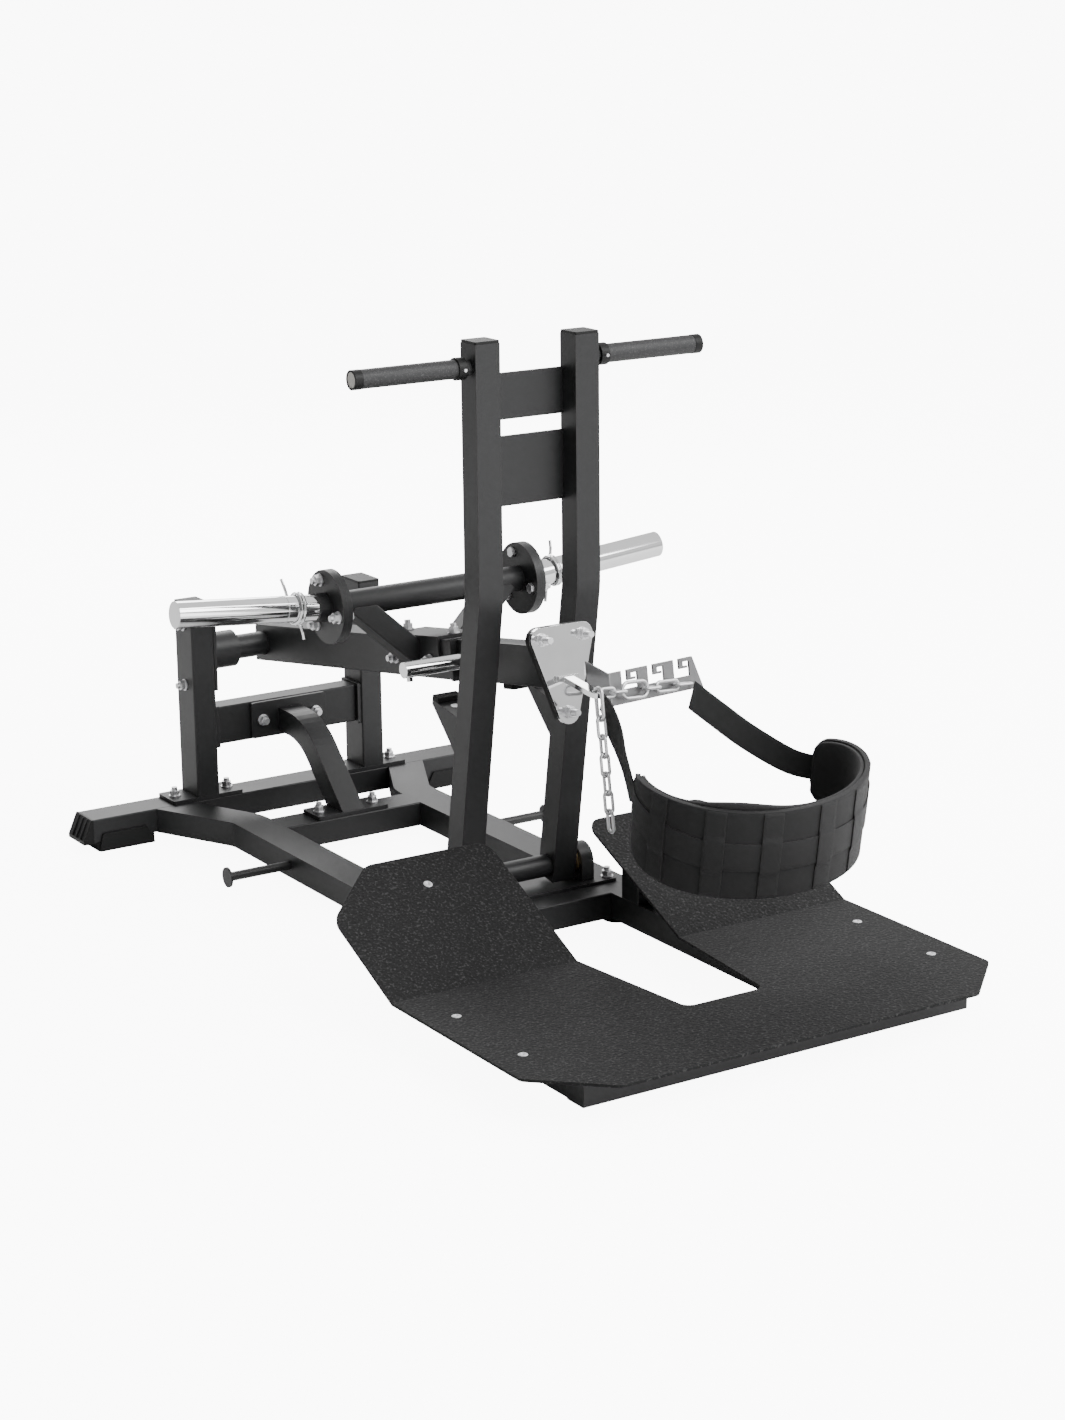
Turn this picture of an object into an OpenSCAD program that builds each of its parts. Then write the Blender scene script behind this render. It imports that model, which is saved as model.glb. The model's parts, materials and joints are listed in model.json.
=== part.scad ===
// Belt squat machine: plate-loaded lever arm, tilting catch tower and bent foot plate.
// Millimetres. X runs across, the lifter stands at -Y and the arm turns at +Y.

/* [Frame] */
// Length from the front edge of the foot plate to the back of the rear beam
overall_l = 1849; // [1800:1:1950]
// Height of the rubber feet under the frame
foot_h = 18; // [10:1:30]
// Narrow side of the frame tubes
tube_n = 50; // [48:1:54]
// Wide side of the frame tubes
tube_w = 76; // [72:1:80]
// Wall of the frame tubes
tube_wall = 3; // [2:0.5:4]
// Outer corner radius of the frame tubes
tube_r = 3; // [2:0.5:3]
// Length of the rear beam without its end caps
beam_l = 914; // [880:1:960]
// Reach of each slanted plastic end cap
cap_l = 23; // [12:1:40]
// Centre of each rail from the middle plane
rail_x = 192.5; // [185:0.5:200]
// Angle of the splayed rear end of each rail
rail_splay = 26; // [15:1:30]
// Length of the splayed end along the machine
splay_run = 168; // [120:1:200]
// Front face of the front cross member
front_cross_y = -124.5; // [-140:0.5:-100]
// Distance from the mid cross member's front face to the rear beam
mid_cross_gap = 268; // [240:0.5:300]
// Band pegs, distance from the middle of the machine
peg_y = 433.5; // [380:0.5:480]
// Length of each band peg
peg_l = 136; // [80:1:180]
// Diameter of each band peg
peg_d = 18; // [12:1:24]

/* [Foot plate] */
// Thickness of the foot plate
plate_t = 5; // [4:0.5:8]
// Half of the foot plate's width
plate_half = 482; // [440:1:520]
// Depth of the flat part, from the front edge to the bend
flat_l = 515.5; // [480:0.5:560]
// Slope of the wings
wing_angle = 25; // [15:1:30]
// Length of the wings along the slope
wing_l = 331; // [300:1:350]
// Half width of the open slot at the bend
slot_half = 109; // [95:1:120]
// Half width of the slot at its front end
slot_tip_half = 80; // [60:1:90]
// Length of the slot in the flat part
slot_l = 290.5; // [240:0.5:330]
// Overhang of the plate beyond the platform's front tube
front_overhang = 63.5; // [40:0.5:90]
// Half length of the platform's front tube
front_tube_half = 393.5; // [360:0.5:410]
// Countersunk screws of the plate, from the middle plane
screw_x = 423; // [412:1:428]

/* [Rear stand] */
// Centre of each post from the middle plane
post_x = 196; // [190:1:205]
// Top of the posts
post_top = 482; // [460:1:520]
// Height of the arm's pivot
pivot_z = 372; // [360:1:385]
// Thickness of the bolted base plates
base_t = 8; // [6:1:10]
// Height of the stand's cross beam above the floor
stand_beam_z = 177; // [165:1:190]
// Height of the section of the stand's cross beam
stand_beam_h = 80; // [70:1:85]
// Bend radius of the brace
brace_r = 140; // [120:1:150]
// Outer diameter of the pivot housings
housing_d = 76; // [70:1:76]
// Length of each pivot housing
housing_l = 54; // [45:1:60]

/* [Arm] */
// Rise of the arm towards the lifter
arm_rise = 9; // [7:0.5:10]
// Distance from the pivot to the joint plate
joint_d = 770.5; // [750:0.5:790]
// Distance from the pivot to the front face of the hook plate
hook_d = 1110; // [1090:1:1120]
// Diameter of the arm's pivot tube and of the horn's cross tube
round_d = 50; // [48:1:52]
// Diameter of the arm's shaft
arm_shaft_d = 30; // [25:1:32]
// Distance from the pivot to the horn, along the arm
horn_d = 646; // [635:1:655]
// Height of the horn above the arm's centre line
horn_h = 120.5; // [112:0.5:130]
// Half length of the horn's cross tube
horn_half = 202; // [196:1:210]
// Radius of the flange discs
flange_r = 70; // [65:1:75]
// Thickness of each flange disc
flange_t = 10; // [8:1:12]
// Diameter of the weight sleeves
sleeve_d = 50; // [48:0.5:50]
// Length of each weight sleeve
sleeve_l = 309.3; // [280:0.1:330]
// Length of each sleeve that carries plates, outside a shallow groove
plate_room = 220; // [200:1:220]
// Upward tilt of the sleeves
sleeve_tilt = 5; // [0:0.5:6]
// Length of the black hub round the root of each sleeve
hub_l = 24; // [16:1:30]
// Place of the spring collars along the sleeves
collar_at = 60; // [50:1:60]
// Wire of the spring collars
collar_wire = 6; // [4:0.5:6]
// Diameter of the catch pin
catch_pin_d = 30; // [26:1:32]
// Length of the catch pin
catch_pin_l = 320; // [300:1:340]
// Distance from the pivot to the catch pin, along the arm
catch_d = 807; // [803:1:812]

/* [Hook] */
// Thickness of the chrome hook plate
hook_t = 8; // [6:1:10]
// Thickness of the black backing plate
backing_t = 12; // [8:1:14]
// Half distance between the upper studs
stud_x = 43; // [40:1:48]
// Height of the upper studs above the arm's centre line
stud_up = 53; // [48:1:56]
// Depth of the lower stud below the arm's centre line
stud_down = 82; // [76:1:88]
// Corner radius of the hook plate
hook_r = 22; // [18:1:24]
// Length of the hook bar
hook_bar_l = 106; // [90:1:115]
// Length of the rack from the start of its third slot to its end
rack_end = 72; // [66:1:80]
// Height of the rack
rack_h = 60; // [58:1:64]
// Distance between the rack's slots
slot_pitch = 66; // [60:1:76]

/* [Tower] */
// Centre of each upright from the middle plane
upright_x = 103.5; // [101:0.5:106]
// Top of the uprights
tower_top = 1125.5; // [1090:0.5:1160]
// Height of the bend in the uprights
bend_z = 665.5; // [640:0.5:690]
// Lean of the uprights below the bend
tower_lean = 9; // [7:0.5:10]
// Place of the tower's pivot along the machine
tower_pivot_y = -18.5; // [-24:0.5:-12]
// Height of the tower's pivot
tower_pivot_z = 108; // [106:0.5:114]
// Diameter of the tower's shaft
tower_shaft_d = 25; // [20:1:28]
// Height of the handles
handle_z = 1078.5; // [1060:0.5:1095]
// Reach of the handles from the middle plane
handle_half = 361.4; // [330:0.1:400]
// Diameter of the handle grips
grip_d = 34; // [28:1:36]
// Height of the catch brackets above the tower's pivot, along the uprights
catch_h = 328; // [325:1:330]
// Reach of the catch brackets behind the uprights
catch_l = 86; // [84:1:88]
// Thickness of the catch pads
catch_pad_t = 10; // [8:1:10]

/* [Belt] */
// Half width of the belt's curve
belt_a = 207; // [190:1:215]
// Depth of the belt's curve
belt_b = 165; // [150:1:175]
// Height of the belt at its back
belt_h = 171; // [150:1:180]
// Thickness of the belt
belt_t = 14; // [8:1:16]
// Half of the arc that the belt covers, in degrees
belt_arc = 122; // [110:1:125]
// Width of the belt straps
strap_w = 48; // [38:1:52]
// Thickness of the belt straps
strap_t = 4; // [3:0.5:5]
// Wire of the chain links
link_d = 6; // [4:0.5:6]
// Inner length of a chain link
link_p = 34; // [30:1:36]

/* [Hidden] */
$fn = 48;
// Radial clearance of running fits
run = 0.1;
// Gap between pieces that are pressed together
fit = 0.05;
// Gap between faces that move past each other
slip = 0.3;
// Radial clearance of screws and bolts in their holes
bolt_play = 0.3;
rear_y = overall_l / 2;
front_y = -overall_l / 2;
beam_y = rear_y - tube_w / 2;
beam_front = rear_y - tube_w;
pivot_y = beam_y;
deck = foot_h + tube_n;
plate_top = deck + plate_t;
tube_z = foot_h + tube_n / 2;
rail_in = rail_x - tube_w / 2;
rail_out = rail_x + tube_w / 2;
kink_y = beam_front - splay_run;
rail_bend_r = 90;
front_tube_y = front_y + front_overhang;
bend_y = front_y + flat_l;
side_x = front_tube_half - tube_n / 2;
stub_y = bend_y - tube_n;
front_cut = [117.5, 110.5];
rear_cut = [121, 114.5];
wing_screw = [272.5, 255];
screw_cut = 60;
tower_bolt = [38, 34];
screw_from_bend = [112.5, 319.5];
screw_rows = [flat_l - screw_from_bend[0], flat_l - screw_from_bend[1]];
screw_tab = [50, 60, 8];
leg_y = bend_y + 225.5;
leg_x = rail_in + tube_n / 2 + 1;
leg_l = 55;
leg_pad_t = 6;
cap_t = 5;
post_in = post_x - tube_n / 2;
post_out = post_x + tube_n / 2;
base_z = deck + base_t;
base_plate_l = 160;
base_bolt_x = 60;
brace_plate_half = 88;
brace_bolt_x = 62;
brace_z = stand_beam_z + stand_beam_h / 2 - 5;
stand_front = beam_y - tube_n / 2;
mid_cross_y = beam_front - mid_cross_gap;
mid_cross_mid = mid_cross_y + tube_w / 2;
front_cross_mid = front_cross_y + tube_w / 2;
housing_plate = [6, tube_w, 150];
housing_bolt_z = 63;
housing_face = post_in - housing_plate[0] - housing_l;
bearing_d = 62;
bearing_l = 20;
ring_l = 6;
ring_d = 56;
bolt_d = 12;
nut_af = 18;
nut_h = 10;
washer_d = 24;
washer_t = 2.5;
bolt_end = 7;
arm_half = tube_w / 2;
joint_t = 8;
joint_side = tube_w + 4;
arm_tail = 34;
saddle_t = 6;
saddle_from = 545;
saddle_to = 740;
saddle_drop = 46;
saddle_in = arm_half + 0.2;
saddle_out = saddle_in + saddle_t;
arm_bolt_at = [554.5, 728.5];
side_bolt_at = [575, 708];
strut_angle = 43;
strut_foot_z = 8;
horn_wall = 4;
sleeve_root = horn_half + 2 * flange_t;
flange_bolt_r = 52;
flange_bolt_at = [80, 200, 320];
hub_d = sleeve_d + 5;
sleeve_wall = 4;
collar_turns = 2.25;
collar_pitch = collar_wire + 1;
collar_r = sleeve_d / 2 + collar_wire / 2 + 1.5 * slip;
collar_sides = 32;
bumper_at = 940;
bumper_l = 40;
bumper_t = 10;
hook_back = hook_d - hook_t - backing_t;
stud_l = 30;
bar_z = -20;
bar_drop = 15;
bar_w = 20;
bar_t = 10;
bar_hole = 13;
head_l = 40;
rack_t = 4;
rack_lean = 23;
rack_corner = [67, 36];
rack_foot_x = 47;
rack_low = -80;
rack_yaw = 10.3;
slot_at = 27;
rack_l = slot_at + 2 * slot_pitch + rack_end;
slot_open = 14;
slot_deep = 34;
slot_w = 40;
finger_w = 10;
finger_drop = 19;
lip_l = 21;
lip_t = 4;
pocket_drop = 7;
upright_in = upright_x - tube_n / 2;
upright_out = upright_x + tube_n / 2;
bend_r = 150;
bend_tangent = bend_r * tan(tower_lean / 2);
leg_run = (bend_z - tower_pivot_z) / cos(tower_lean);
tower_y = tower_pivot_y - (bend_z - tower_pivot_z) * tan(tower_lean);
tower_rear = tower_y + tube_n / 2;
leg_end = 26;
tower_plate_t = 6;
top_plate = [976.5, 1059.5];
mid_plate = [821, 947];
bush_d = 32;
bush_l = 28;
bush_flange = 6;
tower_tube_d = 42;
tower_tube_half = upright_out + 1.5;
block_in = tower_tube_half + bush_flange + slip;
block_t = 27;
block_r = 33.5;
tower_base_t = 6;
tower_base = [2 * (rail_out - 26), 104];
handle_d = 28;
handle_collar = [11, 17];
handle_cap_l = 16;
catch_t = 8;
catch_pad_l = 20;
gusset_drop = 62;
gusset_t = 8;
peg_disc = [40, 4];
belt_from_tip = [205.6, -177.5, -194.9];
belt_turn = [12.6, -3.5, -6.6];
belt_steps = 36;
strap_steps = 14;
link_w = 22;
links = 6;
quick_p = 50;
quick_d = 7;
quick_w = 26;
connector = [[30, 6, link_w], [26, 6, link_w], [56, 7, 36], [30, 6, link_w], [50, 6, 24],
    [32, 6, link_w]];
connector_from = -36;
connector_z = 29;

// Both mirrored halves of a pair
module pair() {
    children();
    mirror([1, 0, 0]) children();
}

// Flat rectangle with round corners
module round_rect(w, h, r) {
    square([w - 2 * r, h], center = true);
    square([w, h - 2 * r], center = true);
    for (x = [-1, 1], y = [-1, 1])
        translate([x * (w / 2 - r), y * (h / 2 - r)]) circle(r);
}

// Cross section of a frame tube
module tube_section(w, h) {
    difference() {
        round_rect(w, h, tube_r);
        square([w - 2 * tube_wall, h - 2 * tube_wall], center = true);
    }
}

// Straight tubes along each axis, centred
module tube_x(l, w, h) {
    rotate([90, 0, 90]) linear_extrude(l, center = true) tube_section(w, h);
}

module tube_y(l, w, h) {
    rotate([90, 0, 0]) linear_extrude(l, center = true) tube_section(w, h);
}

module tube_z(l, w, h) {
    linear_extrude(l) tube_section(w, h);
}

// Outline of a tube that runs along +Y, bends towards +X with radius r and runs on
function bend_side(edge, first, r, turn, second, n = 8) = let (q = r - edge)
    concat([[edge, 0]],
        [for (i = [0 : n]) [r - q * cos(turn * i / n), first + q * sin(turn * i / n)]],
        [[r - q * cos(turn) + second * sin(turn), first + q * sin(turn) + second * cos(turn)]]);
module bend_outline(w, first, r, turn, second) {
    right = bend_side(w / 2, first, r, turn, second);
    polygon(concat(bend_side(-w / 2, first, r, turn, second),
        [for (i = [len(right) - 1 : -1 : 0]) right[i]]));
}
module bent_tube(w, h, first, r, turn, second) {
    difference() {
        linear_extrude(h, center = true) bend_outline(w, first, r, turn, second);
        linear_extrude(h - 2 * tube_wall, center = true)
            bend_outline(w - 2 * tube_wall, first, r, turn, second);
    }
}

// Bar along X, centred
module rod_x(l, d) {
    rotate([0, 90, 0]) cylinder(h = l, d = d, center = true);
}

// Bolt along Z: its head sits under z = -grip and its nut on z = 0
module bolt(grip, d = bolt_d, end = bolt_end) {
    head = d * 0.6;
    translate([0, 0, -grip - head]) cylinder(h = head, d = 1.7 * d, $fn = 6);
    translate([0, 0, -grip]) cylinder(h = grip + washer_t + nut_h + end, d = d);
}

// Washer and nut that belong to a bolt, as one tightened stack
module nut(d = bolt_d, wide = washer_d) {
    difference() {
        union() {
            cylinder(h = washer_t, d = wide);
            translate([0, 0, washer_t]) cylinder(h = nut_h, d = nut_af / cos(30), $fn = 6);
        }
        translate([0, 0, -1]) cylinder(h = nut_h + washer_t + 2, d = d + 2 * run);
    }
}

module fastener(grip) {
    bolt(grip);
    nut();
}

module bolt_hole(l = 40) {
    translate([0, 0, -l / 2]) cylinder(h = l, d = bolt_d + 2 * bolt_play);
}

// Outline points of a convex or notched polygon whose corners are rounded
function unit(v) = v / norm(v);
function along(a) = [cos(a), sin(a)];
function corner(a, b, c, r, n = 6) =
    let (u = unit(a - b), v = unit(c - b), half = acos(u * v) / 2, t = r / tan(half),
         mid = b + unit(u + v) * r / sin(half), p = b + u * t, q = b + v * t,
         turn = sign(u[0] * v[1] - u[1] * v[0]), span = 180 - 2 * half,
         from = atan2(p[1] - mid[1], p[0] - mid[0]))
    [for (i = [0 : n]) mid + r * along(from - turn * span * i / n)];
function rounded(p, r) = [for (i = [0 : len(p) - 1])
    let (k = len(p))
    each r[i] > 0 ? corner(p[(i + k - 1) % k], p[i], p[(i + 1) % k], r[i]) : [p[i]]];

// Skin of a closed sweep: every ring is a list of points, first and last are capped
module skin(rings) {
    n = len(rings[0]);
    m = len(rings);
    polyhedron([for (ring = rings) each ring],
        concat([[for (i = [0 : n - 1]) i]],
            [for (j = [0 : m - 2], i = [0 : n - 1])
                each let (a = j * n + i, b = j * n + (i + 1) % n)
                    [[a, a + n, b], [b, a + n, b + n]]],
            [[for (i = [n - 1 : -1 : 0]) (m - 1) * n + i]]));
}

// Frames of the two moving assemblies and of the sloping wings
module arm_frame() {
    translate([0, pivot_y, pivot_z]) rotate([-arm_rise, 0, 0]) children();
}

module tower_frame() {
    translate([0, tower_pivot_y, tower_pivot_z]) rotate([tower_lean, 0, 0]) children();
}

module wing_frame() {
    translate([0, bend_y, plate_top]) rotate([wing_angle, 0, 0]) children();
}

// Base

module base_bolt_places() {
    for (x = [-1, 1], s = [-1, 1])
        translate([x * (post_x + s * base_bolt_x), beam_y, base_z]) children();
    for (x = [-1, 1])
        translate([x * brace_bolt_x, mid_cross_mid, base_z]) children();
}

module brace_bolt_places() {
    for (x = [-1, 1])
        translate([x * brace_bolt_x, stand_front - base_t, stand_beam_z + stand_beam_h / 2])
            rotate([90, 0, 0]) children();
}

module housing_bolt_places() {
    for (x = [-1, 1], z = [-1, 1])
        translate([x * post_out, beam_y, pivot_z + z * housing_bolt_z])
            rotate([0, x * 90, 0]) children();
}

module tower_bolt_places() {
    for (x = [-1, 1], y = [-1, 1])
        translate([x * (rail_out - tower_bolt[0]), tower_pivot_y + y * tower_bolt[1],
            deck + tower_base_t]) children();
}

module rear_beam() {
    color([0.13, 0.13, 0.14]) difference() {
        translate([0, beam_y, tube_z]) tube_x(beam_l, tube_w, tube_n);
        base_bolt_places() bolt_hole();
    }
}

module beam_end_caps() {
    rib = 2.5;
    color([0.09, 0.09, 0.09]) pair() {
        translate([beam_l / 2, beam_y + tube_w / 2, foot_h]) rotate([90, 0, 0]) {
            linear_extrude(tube_w) polygon([[0, 0], [cap_l, 0], [cap_l, 8], [4, tube_n], [0, tube_n]]);
            for (i = [0 : 2])
                translate([0, 0, tube_w * (0.25 + 0.25 * i) - rib])
                    linear_extrude(2 * rib)
                        polygon([[cap_l - 0.1, 8], [cap_l + 2, 10], [6, tube_n - 2], [4, tube_n - 2]]);
        }
    }
}

module rear_feet() {
    outer = beam_l / 2 - 9;
    inner = outer - 125;
    lip = 5;
    lip_z = foot_h + 19;
    slant = 18;
    color([0.07, 0.07, 0.07]) pair() {
        translate([inner, beam_front, 0]) cube([outer - inner, tube_w, foot_h]);
        translate([0, beam_front, 0]) rotate([90, 0, 0]) linear_extrude(lip)
            polygon(rounded([[inner, 0], [outer, 0], [outer - slant / 2, lip_z], [inner + slant, lip_z]],
                [2, 2, 5, 5]));
    }
}

module front_feet() {
    color([0.07, 0.07, 0.07]) pair() {
        translate([rail_x, front_tube_y + 121, 0]) cylinder(h = foot_h, d = 56);
        translate([rail_x, front_cross_mid, 0]) cylinder(h = foot_h, d = 56);
    }
}

module rail() {
    tangent = rail_bend_r * tan(rail_splay / 2);
    first = kink_y - (front_tube_y + tube_n) - tangent;
    second = (splay_run + tube_w) / cos(rail_splay) - tangent;
    difference() {
        translate([rail_x, front_tube_y + tube_n, tube_z])
            bent_tube(tube_w, tube_n, first, rail_bend_r, rail_splay, second);
        translate([0, beam_front, foot_h - 1]) cube([beam_l, tube_w * 3, tube_n + 2]);
        tower_bolt_places() bolt_hole();
    }
}

module left_rail() {
    color([0.13, 0.13, 0.14]) mirror([1, 0, 0]) rail();
}

module right_rail() {
    color([0.13, 0.13, 0.14]) rail();
}

module mid_cross_member() {
    color([0.13, 0.13, 0.14]) difference() {
        translate([0, mid_cross_mid, tube_z]) tube_x(2 * rail_in, tube_w, tube_n);
        base_bolt_places() bolt_hole();
    }
}

module front_cross_member() {
    color([0.13, 0.13, 0.14])
        translate([0, front_cross_mid, tube_z]) tube_x(2 * rail_in, tube_w, tube_n);
}

module platform_frame() {
    side_l = bend_y - front_tube_y - tube_n;
    inset = 0.4;
    bite = 1.5;
    stub_l = side_x - tube_n / 2 - rail_out;
    color([0.13, 0.13, 0.14]) {
        translate([0, front_tube_y + tube_n / 2, tube_z]) tube_x(2 * front_tube_half, tube_n, tube_n);
        pair() translate([front_tube_half - tube_wall - inset, front_tube_y + tube_wall - bite,
            foot_h + tube_wall - bite])
            cube([tube_wall, tube_n - 2 * tube_wall + 2 * bite, tube_n - 2 * tube_wall + 2 * bite]);
        pair() translate([side_x, bend_y - (side_l + bite) / 2, tube_z])
            tube_y(side_l + bite, tube_n - 2 * inset, tube_n - 2 * inset);
        pair() translate([rail_out + (stub_l + bite) / 2, stub_y + tube_n / 2, tube_z])
            tube_x(stub_l + bite, tube_n - 4 * inset, tube_n - 4 * inset);
        difference() {
            pair() for (y = screw_rows)
                translate([front_tube_half - bite, front_y + y - screw_tab[1] / 2, deck - screw_tab[2]])
                    cube(screw_tab);
            screw_places() cylinder(h = screw_cut, d = 8 + 2 * run, center = true);
        }
    }
}

module screw_places() {
    for (x = [-1, 1], y = screw_rows)
        translate([x * screw_x, front_y + y, plate_top]) children();
}

module wing_screw_places() {
    for (x = [-1, 1]) wing_frame() translate([x * wing_screw[0], wing_screw[1], 0]) children();
}

module countersink(play) {
    translate([0, 0, -4.5]) cylinder(h = 4.5, d1 = 8 + play, d2 = 17 + play);
    translate([0, 0, -20]) cylinder(h = 16, d = 8 + play);
}

module wing_legs() {
    color([0.13, 0.13, 0.14]) {
        difference() {
            pair() translate([leg_x, leg_y, deck]) tube_z(wing_l / 2, tube_n, leg_l);
            wing_frame() translate([-plate_half, -tube_n, -plate_t - leg_pad_t])
                cube([2 * plate_half, wing_l + 2 * tube_n, wing_l]);
        }
        difference() {
            pair() wing_frame() translate([leg_x - tube_n / 2, wing_screw[1] - 25, -plate_t - leg_pad_t])
                cube([wing_screw[0] - leg_x + 50, 50, leg_pad_t]);
            wing_screw_places() cylinder(h = screw_cut, d = 8 + 2 * run, center = true);
        }
    }
}

// Outline of the plate seen from above: one half from the front edge round to the slot
function plate_side(side) =
    let (wing_end = bend_y + wing_l * cos(wing_angle),
         wing_cut = bend_y + (wing_l - rear_cut[1]) * cos(wing_angle))
    [[side * (plate_half - front_cut[0]), front_y], [side * plate_half, front_y + front_cut[1]],
     [side * plate_half, wing_cut], [side * (plate_half - rear_cut[0]), wing_end],
     [side * (slot_half - 2), wing_end], [side * slot_half, bend_y],
     [side * slot_tip_half, bend_y - slot_l]];
plate_radii = [20, 20, 40, 40, 30, 0, 20];

module foot_plate() {
    left = plate_side(-1);
    mid = wing_angle / 2;
    far = wing_l + 20;
    color([0.16, 0.16, 0.16]) difference() {
        intersection() {
            translate([0, 0, deck - 10]) linear_extrude(wing_l) polygon(rounded(
                concat(plate_side(1), [for (i = [6 : -1 : 0]) left[i]]),
                concat(plate_radii, [for (i = [6 : -1 : 0]) plate_radii[i]])));
            translate([-plate_half - 10, bend_y, plate_top]) rotate([90, 0, 90])
                linear_extrude(2 * plate_half + 20) polygon([[0, 0], [-flat_l - 20, 0],
                    [-flat_l - 20, -plate_t], plate_t / cos(mid) * [sin(mid), -cos(mid)],
                    far * [cos(wing_angle), sin(wing_angle)]
                        + plate_t * [sin(wing_angle), -cos(wing_angle)],
                    far * [cos(wing_angle), sin(wing_angle)]]);
        }
        screw_places() countersink(2 * run);
        wing_screw_places() countersink(2 * run);
    }
}

module plate_screws() {
    color([0.6, 0.6, 0.62]) {
        screw_places() countersink(0);
        wing_screw_places() countersink(0);
    }
}

module band_pegs() {
    color([0.13, 0.13, 0.14]) pair() translate([rail_out, peg_y, tube_z]) rotate([0, 90, 0]) {
        cylinder(h = peg_l - peg_disc[1], d = peg_d);
        translate([0, 0, peg_l - peg_disc[1]]) cylinder(h = peg_disc[1], d = peg_disc[0]);
    }
}

module post() {
    difference() {
        translate([post_x, beam_y, base_z]) tube_z(post_top - cap_t - base_z, tube_n, tube_w);
        housing_bolt_places() bolt_hole(2 * tube_n + 40);
    }
}

module left_post() {
    color([0.13, 0.13, 0.14]) mirror([1, 0, 0]) post();
}

module right_post() {
    color([0.13, 0.13, 0.14]) post();
}

// Plastic cap with a plug that fills the mouth of a tube
module tube_cap(w, h) {
    linear_extrude(cap_t) round_rect(w, h, tube_r);
    translate([0, 0, -15]) linear_extrude(15)
        square([w - 2 * tube_wall - 2 * run, h - 2 * tube_wall - 2 * run], center = true);
}

module post_caps() {
    color([0.1, 0.1, 0.1]) pair() translate([post_x, beam_y, post_top - cap_t]) tube_cap(tube_n, tube_w);
}

module mounting_plates() {
    beam_mid = stand_beam_z + stand_beam_h / 2;
    color([0.13, 0.13, 0.14]) {
        difference() {
            union() {
                pair() translate([post_x, beam_y, deck]) linear_extrude(base_t)
                    round_rect(base_plate_l, tube_w, 6);
                translate([0, mid_cross_mid, deck]) linear_extrude(base_t)
                    round_rect(2 * brace_plate_half - 12, tube_w - 6, 6);
            }
            base_bolt_places() bolt_hole();
        }
        pair() translate([post_in - base_t, beam_y, beam_mid])
            rotate([90, 0, 90]) linear_extrude(base_t) round_rect(tube_w - 6, stand_beam_h + 8, 3);
        difference() {
            translate([0, stand_front, beam_mid]) rotate([90, 0, 0])
                linear_extrude(base_t) round_rect(2 * brace_plate_half, stand_beam_h - 4, 6);
            brace_bolt_places() bolt_hole();
        }
    }
}

module stand_cross_beam() {
    flange_in = post_in - base_t;
    color([0.13, 0.13, 0.14]) difference() {
        translate([0, beam_y, stand_beam_z + stand_beam_h / 2]) tube_x(2 * flange_in, tube_n, stand_beam_h);
        brace_bolt_places() bolt_hole();
    }
}

module brace() {
    start_y = stand_front - base_t;
    drop = brace_z - base_z;
    tangent = brace_r * tan(22.5);
    first = start_y - (mid_cross_mid + 2 + drop) - tangent;
    second = drop * sqrt(2) - tangent + tube_n;
    color([0.13, 0.13, 0.14]) difference() {
        translate([0, start_y, brace_z]) rotate([0, 90, 180])
            bent_tube(tube_n, tube_n, first, brace_r, 45, second);
        translate([-tube_n, mid_cross_y - tube_w, base_z - 3 * tube_n])
            cube([2 * tube_n, 4 * tube_w, 3 * tube_n]);
    }
}

module frame_bolts() {
    through = tube_n + housing_plate[0];
    color([0.75, 0.76, 0.78]) {
        base_bolt_places() fastener(base_t + tube_wall);
        brace_bolt_places() fastener(base_t + tube_wall);
        tower_bolt_places() fastener(tower_base_t + tube_wall);
        housing_bolt_places() fastener(through);
    }
}

module pivot_housings() {
    plate_x = post_in - housing_plate[0];
    color([0.12, 0.12, 0.13]) difference() {
        pair() {
            translate([plate_x, beam_y - housing_plate[1] / 2, pivot_z - housing_plate[2] / 2])
                cube(housing_plate);
            translate([plate_x - housing_l, pivot_y, pivot_z]) rotate([0, 90, 0])
                cylinder(h = housing_l, d = housing_d);
        }
        translate([0, pivot_y, pivot_z]) rod_x(2 * plate_x, bearing_d + 2 * run);
        housing_bolt_places() bolt_hole(2 * tube_n + 40);
    }
}

module pivot_bearings() {
    color([0.7, 0.7, 0.72]) pair() translate([housing_face, pivot_y, pivot_z]) rotate([0, 90, 0])
        difference() {
            cylinder(h = bearing_l, d = bearing_d);
            translate([0, 0, -1]) cylinder(h = bearing_l + 2, d = arm_shaft_d + 2 * run);
        }
}

module tower_base_plate() {
    color([0.13, 0.13, 0.14]) difference() {
        translate([0, tower_pivot_y, deck]) linear_extrude(tower_base_t)
            round_rect(tower_base[0], tower_base[1], 6);
        tower_bolt_places() bolt_hole();
    }
}

module tower_bearing_blocks() {
    foot_z = deck + tower_base_t;
    color([0.12, 0.12, 0.13]) pair() translate([block_in, tower_pivot_y, 0]) rotate([90, 0, 90])
        linear_extrude(block_t) difference() {
            union() {
                translate([0, tower_pivot_z]) circle(block_r, $fn = 96);
                translate([-block_r, foot_z]) square([2 * block_r, tower_pivot_z - foot_z]);
            }
            translate([0, tower_pivot_z]) circle(d = tower_shaft_d + 2 * run);
        }
}

module tower_shaft() {
    color([0.7, 0.7, 0.72]) translate([0, tower_pivot_y, tower_pivot_z])
        rod_x(2 * (block_in + block_t), tower_shaft_d);
}

// Arm

module arm_shaft() {
    color([0.7, 0.7, 0.72]) arm_frame() rod_x(2 * (housing_face + bearing_l + 8), arm_shaft_d);
}

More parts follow.
